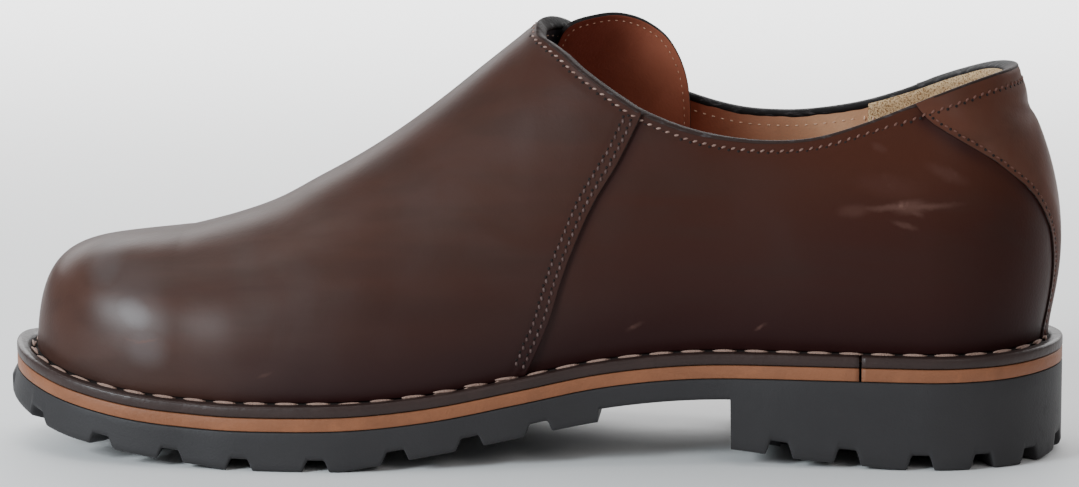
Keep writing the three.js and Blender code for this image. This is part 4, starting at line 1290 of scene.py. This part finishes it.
class SHOE_OT_lining(bpy.types.Operator):
    """The tan lining inside the whole upper, and the beige suede lining at the heel"""

    bl_idname = "shoe.lining"
    bl_label = "Lining"

    def execute(self, context):
        last, pattern = shoe_of(context)
        rise = rise_rows(40)
        front = pattern.front(rise, (16, 10, 24, 24))
        rear = pattern.rear(rise, count=60)
        place, t = joined(front, rear)
        points = last.skin(place, t, -last.wall)
        light = ease(points[..., 0], 38.0, 92.0)
        made = lay_sheet("lining", points, np.stack([light, light * 0, light * 0], -1))
        for face in made.data.polygons:
            face.material_index = face.center.x < FACING_TO * MM and face.center.z > FACING_ABOVE * MM
        turn_faces(made, outward_from_axis(last, -1))
        thicken(made, THICK["lining"] * MM, round_edge=0)
        settle(made, ("vamp", "quarters"), ("graded lining", "dark facing"))
        place, t = pattern.rear(np.linspace(0.04, 0.998, 40), count=90)
        keep = last.wall_at(place[:, -1], t[:, -1])[:, 0] > HEEL_LINING_FROM
        points = last.skin(place[keep], t[keep], -last.wall - HEEL_LINING_STEP)
        heel = lay_sheet("heel_lining", points)
        turn_faces(heel, outward_from_axis(last, -1))
        thicken(heel, THICK["heel lining"] * MM, round_edge=0)
        settle(heel, (), ("beige suede",))
        bars = []
        for column in (0, -1):
            line = last.skin(place[keep][column], t[keep][column], -last.wall - 0.4)[16:-2]
            bars += [line + (step, 0, 0) for step in (-1.0, 1.5)]
        inside = surface_of(made, heel)
        sew("joint_stitches", bars, inside, (1.7, 0.75, 0.4), 2.4, holes=False, thread="lining thread")
        return {"FINISHED"}


# The lining's side of the cut edge stands this much above the leather's at the throat
EDGE_LEAN = 1.3
# Across the painted edge: share of the half thickness, height, and how much deeper the paint runs
EDGE_PROFILE = (
    (1.0, -0.22, 0.1), (1.0, -0.1, 0), (0.96, 0.08, 0), (0.8, 0.29, 0), (0.5, 0.42, 0),
    (0.0, 0.48, 0), (-0.5, 0.42, 0), (-0.84, 0.27, 0), (-1.0, 0.0, 0), (-1.04, -0.3, 0),
    (-1.04, -0.45, 0.75), (-0.9, -0.55, 0.75), (0.4, -0.6, 0.2), (0.94, -0.4, 0.1), (1.0, -0.22, 0.1),
)


class SHOE_OT_top_edge(bpy.types.Operator):
    """The rounded, painted edge all round the opening"""

    bl_idname = "shoe.top_edge"
    bl_label = "Painted top edge"

    def execute(self, context):
        last, pattern = shoe_of(context)
        place, t = pattern.topline()
        offset = pattern.edge_offset(place, t)
        normals = last.normal_at(place, t)
        points = last.wall_at(place, t)
        ahead = unit(np.roll(points, -1, 0) - np.roll(points, 1, 0))
        up = unit(np.cross(ahead, normals))
        half = (last.wall + offset) / 2
        middle = points + normals * ((offset - last.wall) / 2)[:, None]
        run = np.linspace(0, 2 * math.pi, len(points), endpoint=False)
        uneven = 0.3 * np.sin(23 * run) + 0.25 * np.sin(37 * run + 1) + 0.2 * np.sin(71 * run + 2)
        lean = ease(-points[:, 1], 0.0, 14.0) * (1 - ease(points[:, 0], 25.0, 85.0))
        deep = (1 + uneven * 0.4) * (1 + 1.6 * ease(points[:, 0], 95.0, 135.0))
        section = []
        for side, high, drop in EDGE_PROFILE:
            across = normals * (half * side + math.copysign(0.04, side))[:, None]
            raised_by = high + EDGE_LEAN * lean * (1 - side) / 2 - drop * deep
            section.append(middle + across + up * raised_by[:, None])
        grid = np.stack(section, 1)
        grid = np.concatenate([grid, grid[:1]])
        made = lay_sheet("top_edge", grid)
        face_outwards(made)
        settle(made, ("vamp", "quarters"), ("edge paint",))
        return {"FINISHED"}


def on_form(last, x, z, side, offset):
    """Points of the form, grown by offset, at a length and a height seen from the side."""
    aim_x, aim_z = np.array(x, float), np.array(z, float)
    for _ in range(9):
        place = last.on_side(last.side_place(aim_x), side)
        t = halve(np.full(aim_x.shape, 0.2), 1.0, lambda u: last.wall_at(place, u)[..., 2] - aim_z, 26)
        points = last.skin(place, t, np.full(aim_x.shape, offset))
        aim_x = aim_x + (x - points[..., 0]) * 0.8
        aim_z = np.minimum(aim_z + (z - points[..., 2]) * 0.8, last.crown(aim_x) - 0.02)
    return points, last.normal_at(place, t)


def tongue_outline(last, count):
    """The tab's outline seen from the side, closed along its foot."""
    x = TONGUE_OUTLINE["at"] * last.length
    z = last.heel_seat + TONGUE_OUTLINE["high"] * last.upper_height
    table = {"run": along(np.stack([x, z], -1)), "x": x, "z": z}
    run = np.linspace(0, table["run"][-1], count)
    arc = np.stack([smooth(table, "run", "x", run), smooth(table, "run", "z", run)], -1)
    foot = np.linspace(arc[-1], arc[0], count // 4)[1:]
    return arc, np.concatenate([arc, foot])


class SHOE_OT_tongue(bpy.types.Operator):
    """The rounded tab inside the outer side of the throat, with its margin of stitches"""

    bl_idname = "shoe.tongue"
    bl_label = "Tongue"

    def execute(self, context):
        last, _ = shoe_of(context)
        arc, ring = tongue_outline(last, 80)
        centre = np.array([(arc[0, 0] + arc[-1, 0]) / 2, arc[-1, 1] + 18.0])
        shares = np.concatenate([np.linspace(0, 0.9, 16), [0.94, 0.97, 1.0]])
        flat = centre + (ring[:, None, :] - centre) * shares[None, :, None]
        inside = -last.wall - last.gap - TONGUE_THICK
        points, normals = on_form(last, flat[..., 0], flat[..., 1], 1, inside)
        gap = (1 - shares)[None, :] * np.linalg.norm(ring - centre, axis=1)[:, None]
        ridge = TONGUE_RIDGE * np.exp(-(((gap - TONGUE_MARGIN) / 0.8) ** 2))
        points = points + normals * ridge[..., None]
        # Painted light: the tab is lighter towards its back and top, where it turns to the light, and darker
        # at its front; the second part of the tone is the matching painted shade
        light = ease(points[..., 0], 14.0, 40.0) * (0.5 + 0.5 * ease(points[..., 2], 84.0, 112.0))
        made = lay_sheet("tongue_tab", points, np.stack([light, 1 - light, light * 0], -1))
        turn_faces(made, lambda _: (0.0, -1.0, -0.2))
        thicken(made, THICK["tongue"] * MM, rim=2, back=1, round_edge=0.0004)
        settle(made, ("tongue",), ("tongue lining", "brown leather", "edge paint"))
        row = centre + (arc - centre) * (1 - TONGUE_MARGIN / np.linalg.norm(arc - centre, axis=1))[:, None]
        line, _ = on_form(last, row[:, 0], row[:, 1], 1, inside)
        face = surface_of(made)
        sew("tongue_stitches", [line[6:-4]], face, (0.9, 0.3, 0.17), 2.3, holes=False, thread="lining thread")
        return {"FINISHED"}


def surface_of(*pieces):
    """What a needle would meet: the faces of these pieces before their thickness."""
    bm = bmesh.new()
    for made in pieces:
        bm.from_mesh(made.data)
    tree = BVHTree.FromBMesh(bm)
    bm.free()
    return tree


def sew(name, lines, surface, size, pitch, tilt=0.0, holes=True, thread="fine thread", lift=0.0, plies=(0,)):
    """Rows of stitches: a lens of thread for each ply, and a dark awl hole between them. The size is
    how long, wide and high the thread stands, in millimetres."""
    bm = bmesh.new()
    long, wide, high = size
    for line in lines:
        run = along(line)
        count = max(int(run[-1] / pitch), 2)
        wanted = (np.arange(count) + 0.5) * run[-1] / count
        middle = resample(line, run, wanted)
        ahead = unit(resample(line, run, wanted + 0.4) - resample(line, run, wanted - 0.4))
        for p, d in zip(middle, ahead):
            spot, normal, _, _ = surface.find_nearest(Vector(p * MM))
            d = Vector(d)
            d = (d - normal * d.dot(normal)).normalized()
            across = normal.cross(d)
            cos, sin = math.cos(tilt), math.sin(tilt)
            d, across = d * cos + across * sin, across * cos - d * sin
            frame_of = Matrix((d, across, normal)).transposed().to_4x4()
            frame_of.translation = spot + normal * (lift * MM)
            scale = Matrix.Diagonal((long / 2 * MM, wide / 2 * MM, high * MM, 1))
            for ply in plies:
                beside = Matrix.Translation((0, ply * wide * PLY_BESIDE * MM, 0))
                lens = frame_of @ (beside @ Matrix.Rotation(ply * PLY_TURN, 4, "Z")) @ scale
                bmesh.ops.create_uvsphere(bm, u_segments=8, v_segments=5, radius=1, matrix=lens)
            if holes:
                before = len(bm.faces)
                hole = frame_of.copy()
                hole.translation = spot + d * (pitch / 2 * MM)
                hole = hole @ Matrix.Diagonal((*AWL_HOLE, 1))
                bmesh.ops.create_uvsphere(bm, u_segments=8, v_segments=3, radius=1, matrix=hole)
                bm.faces.ensure_lookup_table()
                for face in bm.faces[before:]:
                    face.material_index = 1
    for face in bm.faces:
        face.smooth = True
    settle(object_from(bm, name), materials=(thread, "awl hole"))


class SHOE_OT_upper_stitches(bpy.types.Operator):
    """Every fine row on the upper: round the topline, the vamp's double row, the back piece, the lining"""

    bl_idname = "shoe.upper_stitches"
    bl_label = "Fine stitches"

    def execute(self, context):
        last, pattern = shoe_of(context)
        pieces = bpy.data.objects
        vamp, patch = pieces["vamp_leather"], pieces["back_patch"]
        outside = surface_of(vamp, pieces["quarters_leather"], patch)
        inside = surface_of(pieces["lining"], pieces["heel_lining"])
        lines = stitch_lines(last, pattern)
        seams = [line[1:-3] for line in rows_of(lines, "seam")]
        backs = [line[2:-4] for line in rows_of(lines, "back")]
        ring = lines["lining"]
        tan = ring[:, 0] < HEEL_LINING_FROM - 2
        half = len(ring) // 2
        halves = [ring[:half][tan[:half]], ring[half:][tan[half:]]]
        pitch = last.stitch_pitch
        sew("topline_stitches", [lines["topline"]], outside, (1.5, 0.68, 0.36), pitch, 0.48)
        seam_size, seam_pitch = (1.35, 0.8, 0.42), pitch * 0.9
        sew("seam_stitches", seams, surface_of(vamp), seam_size, seam_pitch, 0.4, thread="seam thread")
        sew("back_stitches", backs, surface_of(patch), (1.2, 0.55, 0.3), pitch * 1.1, 0.15)
        sew("lining_stitches", halves, inside, (1.1, 0.42, 0.24), pitch, holes=False, thread="lining thread")
        return {"FINISHED"}


def slab_grid(last, places, level, rings):
    """Columns at the places with a row for each ring: the edge it follows, how much of that edge's reach
    it has, and its steps outwards and down from the level."""
    grid = []
    for reach_of, share, out, down in rings:
        x, y = last.plan(places, reach_of(places) * share + out)
        grid.append(np.stack([x, y, level(x) - down], -1))
    return np.stack(grid, 1)


def joint_places(last, count=520):
    """Places all round, from one side of the butt joint to the other."""
    joint = 2 * last.half_loop - last.side_place(JOINT_AT * last.length)
    return np.linspace(joint + JOINT_HALF, joint + 2 * last.half_loop - JOINT_HALF, count)


class SHOE_OT_welt(bpy.types.Operator):
    """The dark strip round the foot of the upper, with its sewing groove and butt joint"""

    bl_idname = "shoe.welt"
    bl_label = "Welt"

    def execute(self, context):
        last, _ = shoe_of(context)
        thick = last.welt_thick
        groove = ((-2.6, thick), (-2.6, 0.0), (-0.5, 0.05), (0.1, 0.6), (0.8, 1.0), (1.5, 0.95), (2.1, 0.5))
        groove += ((2.5, 0.05), (3.0, -0.05))
        edge = ((-1.3, 0.0), (-0.6, 0.06), (-0.2, 0.3), (0.0, 0.75), (0.03, 1.6), (0.0, thick - 0.5))
        edge += ((-0.2, thick - 0.1), (-0.6, thick))
        rings = [(last.foot_reach, 1, *row) for row in groove] + [(last.sole_reach, 1, *row) for row in edge]
        grid = slab_grid(last, joint_places(last), last.seat, rings + rings[:1])
        # Rows 1 to 5, the sewing groove under the stitches beside the upper, take the near-black awl hole
        # material: painted shade in the groove
        mould("welt_strip", grid, "welt", ("welt strip", "awl hole"), second=(1, 2, 3, 4, 5))
        return {"FINISHED"}


class SHOE_OT_midsole(bpy.types.Operator):
    """The tan midsole"""

    bl_idname = "shoe.midsole"
    bl_label = "Midsole"

    def execute(self, context):
        last, _ = shoe_of(context)
        thick, fill = last.midsole_thick, last.gap * 0.45
        edge = (
            (0.6, 0.0, -fill),
            (1, -0.5, -fill),
            (1, -0.16, 0.05 - fill),
            (1, -0.05, 0.22),
            (1, -0.05, thick - 0.22),
            (1, -0.16, thick - 0.05 + fill),
            (1, -0.5, thick + fill),
            (0.6, 0.0, thick + fill),
            (0.6, 0.0, -fill),
        )
        rings = [(last.sole_reach, *row) for row in edge]
        grid = slab_grid(last, joint_places(last), last.midsole_top, rings)
        mould("midsole_strip", grid, "midsole", ("midsole edge",))
        return {"FINISHED"}


class SHOE_OT_insole(bpy.types.Operator):
    """The leather insole, seen through the opening"""

    bl_idname = "shoe.insole"
    bl_label = "Insole"

    def execute(self, context):
        last, _ = shoe_of(context)

        def reach(place):
            return last.foot_reach(place) - last.wall - 2 * last.gap

        top, low = -INSOLE_RISE, last.welt_thick
        edge = ((0, 0, top), (0.5, 0, top), (1, -1.2, top), (1, -0.3, top + 0.3), (1, 0, top + 1.0))
        edge += ((1, 0, low), (0.5, 0, low), (0, 0, low))
        places = np.linspace(0, 2 * last.half_loop, 200)
        grid = slab_grid(last, places, last.seat, [(reach, *row) for row in edge])
        mould("insole_pad", grid, "insole", ("tan lining",))
        return {"FINISHED"}


def notch_places(last):
    """Every side notch as (place, depth)."""
    loop = 2 * last.half_loop
    found = [(last.side_place(at * last.length), last.lug_depth) for at in FORE_NOTCHES]
    found += [(last.side_place(at * last.length), last.heel_lug_depth) for at in HEEL_NOTCHES]
    found += [(last.half_loop - last.fan * (180 - turn) / 90, last.heel_lug_depth) for turn in HEEL_TURNS]
    found += [(loop - place, depth) for place, depth in found]
    found += [(last.fan * turn / 90, last.lug_depth) for turn in TOE_TURNS_OUTER]
    found += [(loop - last.fan * turn / 90, last.lug_depth) for turn in TOE_TURNS_INNER]
    return found


def cut_depth(gap, width, draft, depth):
    """Depth of a groove with leaning, rounded walls, at a distance from its middle."""
    return depth * (1 - ease(np.abs(gap), (width - draft) / 2 - 0.35, (width + draft) / 2 + 0.35))


class SHOE_OT_outsole(bpy.types.Operator):
    """The lugged rubber sole and heel in one moulding"""

    bl_idname = "shoe.outsole"
    bl_label = "Outsole"

    def execute(self, context):
        last, _ = shoe_of(context)
        loop = 2 * last.half_loop

        def both_sides(at):
            place = last.side_place(at * last.length)
            return place, loop - place

        notches = notch_places(last)
        places = list(np.arange(0, loop, SOLE_STEP))
        middles = [(a + b) / 2 for a, b in zip(FORE_NOTCHES, FORE_NOTCHES[1:])]
        heels = [(a + b) / 2 for a, b in zip(HEEL_NOTCHES, HEEL_NOTCHES[1:])]
        for place, _ in notches:
            places = [p for p in places if abs(p - place) > NOTCH_CLEAR]
            places += [place + step for step in NOTCH_STEPS]
        for at in middles + heels:
            for place in both_sides(at):
                places = [p for p in places if abs(p - place) > CHANNEL_CLEAR]
                places += [place + step for step in CHANNEL_STEPS]
        for at in (FORE_END, BREAST):
            for place in both_sides(at):
                places += [place + step for step in (-0.5, -0.12, 0.12, 0.5)]
        places = np.unique(np.round(np.mod(places, loop), 3))
        places = np.concatenate([places, places[:1] + loop])
        sole = last.sole_reach(places)
        x0, _, out_x, _ = last.rib(places)
        flare = TIP_FLARE * np.maximum(0, -out_x) ** 4
        channels = [(at * last.length, last.lug_depth) for at in middles]
        channels += [(at * last.length, last.heel_lug_depth) for at in heels]

        def floor_of(x, inset):
            """Height of the sole's underside, this far in from its edge."""
            arch = (x > FORE_END * last.length) & (x < BREAST * last.length)
            waist = last.seat(x) - WAIST_WEB - last.welt_thick / 2
            deep = np.zeros(len(places))
            fanned = (x0 <= last.toe_x) | (x0 >= last.heel_x)
            scale = np.where(fanned, (sole - inset) / last.fan_radius, 1.0)
            if inset < NOTCH_REACH + 0.8:
                end = 1 - ease(inset, NOTCH_REACH - 0.4, NOTCH_REACH + 0.8)
                for centre, depth in notches:
                    gap = np.mod(places - centre + last.half_loop, loop) - last.half_loop
                    cut = cut_depth(gap * scale, NOTCH_WIDTH, NOTCH_DRAFT, depth)
                    deep = np.maximum(deep, end * cut)
            across = inset - NOTCH_REACH - CHANNEL_WIDTH / 2
            groove = cut_depth(across, CHANNEL_WIDTH, CHANNEL_DRAFT, 1.0)
            fore_end, heel_start = FORE_NOTCHES[-1] * last.length, HEEL_NOTCHES[0] * last.length
            rear = np.where(x > heel_start, last.heel_lug_depth, 0.0)
            deep = np.maximum(deep, groove * np.where(x < fore_end, last.lug_depth, rear))
            if inset > NOTCH_REACH + CHANNEL_WIDTH - 0.5:
                for centre, depth in channels:
                    cut = cut_depth(x - centre, CHANNEL_WIDTH, CHANNEL_DRAFT, depth)
                    deep = np.maximum(deep, cut)
            return np.where(arch, waist, last.tread(x) + deep)

        columns = []
        top = last.outsole_top

        def add(reach, height):
            x, y = last.plan(places, reach)
            columns.append(np.stack([x, y, height(x)], -1))

        for share in (0.0, 0.5):
            add(sole * share, top)
        for inset, down in ((0.5, 0.0), (0.1, 0.12), (0.0, 0.5)):
            add(sole - inset, lambda x: top(x) - down)
        low = floor_of(last.plan(places, sole + flare)[0], 0.0) + SOLE_ROUNDING[0.0]
        for share in (0.2, 0.45, 0.7, 0.88):
            add(sole + flare * share, lambda x: top(x) - 0.5 + (low - top(x) + 0.5) * share)
        for inset in SOLE_INSETS:
            add(sole + flare - inset, lambda x: floor_of(x, inset) + SOLE_ROUNDING.get(inset, 0.0))
        for share in (0.75, 0.5, 0.25, 0.0):
            add((sole - SOLE_INSETS[-1]) * share, lambda x: floor_of(x, 25.0))
        made = mould("rubber_sole", np.stack(columns, 1), "outsole", ("black rubber",))
        made.data.set_sharp_from_angle(angle=math.radians(60))
        return {"FINISHED"}


class SHOE_OT_welt_stitches(bpy.types.Operator):
    """The thick thread that sews the welt, a slanted lens for each stitch"""

    bl_idname = "shoe.welt_stitches"
    bl_label = "Welt stitches"

    def execute(self, context):
        last, _ = shoe_of(context)
        places = np.linspace(0, 2 * last.half_loop, 700)
        x, _ = last.plan(places, last.foot_reach(places))
        lap = last.lap_offset(x) * (1 - ease(x, -3.0, 3.0))
        x, y = last.plan(places, last.foot_reach(places) + 0.9 + lap)
        line = np.stack([x, y, last.seat(x)], -1)
        welt = surface_of(bpy.data.objects["welt_strip"])
        sizes, pitch = (7.1, 0.92, 0.5), last.welt_pitch
        twist = {"lift": 0.55, "plies": (-1, 1)}
        sew("welt_stitches", [line], welt, sizes, pitch, 0.06, holes=False, thread="welt thread", **twist)
        return {"FINISHED"}


def area_light(name, place, aim, width, height, power, colour=(1, 1, 1)):
    data = bpy.data.lights.new(name, "AREA")
    data.shape = "RECTANGLE"
    data.size, data.size_y = width, height
    data.energy = power
    data.color = colour
    lamp = add_object(name, data)
    lamp.location = place
    lamp.rotation_mode = "QUATERNION"
    lamp.rotation_quaternion = (Vector(aim) - Vector(place)).to_track_quat("-Z", "Y")


class SHOE_OT_stage(bpy.types.Operator):
    """The pale floor, the soft studio light and the camera at the photograph's angle"""

    bl_idname = "shoe.stage"
    bl_label = "Stage"

    def execute(self, context):
        scene = context.scene
        bm = bmesh.new()
        bmesh.ops.create_grid(bm, x_segments=4, y_segments=4, size=6.0)
        floor = object_from(bm, "floor")
        floor.data.materials.append(material_named("studio floor"))
        world = bpy.data.worlds.new("studio")
        world.use_nodes = True
        sky = world.node_tree.nodes["Background"]
        sky.inputs[0].default_value = (0.96, 0.98, 1.0, 1)
        sky.inputs[1].default_value = 0.36
        scene.world = world
        area_light("window", (-0.84, -0.78, 0.5), (-0.1, 0, 0.05), 0.38, 0.38, 15, (0.86, 0.95, 1.0))
        area_light("overhead", (-0.35, 0.1, 1.3), (-0.03, 0, 0.05), 0.9, 0.7, 4.0)
        area_light("fill", (0.75, -1.2, 0.85), (0.03, 0, 0.05), 0.8, 0.5, 3.5, (1.0, 0.97, 0.94))
        area_light("backdrop", (0, 1.6, 0.7), (0, 1.56, 0), 3.4, 1.5, 85)
        data = bpy.data.cameras.new("camera")
        data.sensor_fit = "HORIZONTAL"
        data.sensor_width = SENSOR
        data.lens = SENSOR * CAMERA_FAR / (PHOTO_WIDTH * PHOTO_PIXEL)
        data.clip_start, data.clip_end = 0.05, 30.0
        camera = add_object("camera", data)
        turn, lift = math.radians(CAMERA_TURN), math.radians(CAMERA_LIFT)
        ahead = Vector((-math.sin(turn) * math.cos(lift), math.cos(turn) * math.cos(lift), -math.sin(lift)))
        right = Vector((math.cos(turn), math.sin(turn), 0))
        up = right.cross(ahead)
        place = Matrix((right, up, -ahead)).transposed().to_4x4()
        place.translation = Vector((0.0007, 0, 0.057)) - ahead * CAMERA_FAR
        camera.matrix_world = place
        scene.camera = camera
        return {"FINISHED"}


class SHOE_PT_panel(bpy.types.Panel):
    """The shoe's sizes, colours and pieces"""

    bl_label = "Low slip-on shoe"
    bl_idname = "SHOE_PT_panel"
    bl_space_type = "VIEW_3D"
    bl_region_type = "UI"
    bl_category = "Shoe"

    def draw(self, context):
        for group in (context.scene.shoe_sizes, context.scene.shoe_finish):
            box = self.layout.box()
            for name in group.__annotations__:
                box.prop(group, name)
        for operator in OPERATORS:
            self.layout.operator(operator.bl_idname)


OPERATORS = (
    SHOE_OT_stage,
    SHOE_OT_vamp,
    SHOE_OT_quarters,
    SHOE_OT_back_piece,
    SHOE_OT_lining,
    SHOE_OT_top_edge,
    SHOE_OT_tongue,
    SHOE_OT_insole,
    SHOE_OT_welt,
    SHOE_OT_midsole,
    SHOE_OT_outsole,
    SHOE_OT_upper_stitches,
    SHOE_OT_welt_stitches,
)
CLASSES = (ShoeSizes, ShoeFinish, *OPERATORS, SHOE_PT_panel)


def register():
    for cls in CLASSES:
        bpy.utils.register_class(cls)
    bpy.types.Scene.shoe_sizes = bpy.props.PointerProperty(type=ShoeSizes)
    bpy.types.Scene.shoe_finish = bpy.props.PointerProperty(type=ShoeFinish)


def unregister():
    del bpy.types.Scene.shoe_finish
    del bpy.types.Scene.shoe_sizes
    for cls in reversed(CLASSES):
        bpy.utils.unregister_class(cls)


def main():
    register()
    for operator in OPERATORS:
        group, name = operator.bl_idname.split(".")
        getattr(getattr(bpy.ops, group), name)()


if __name__ == "__main__":
    main()
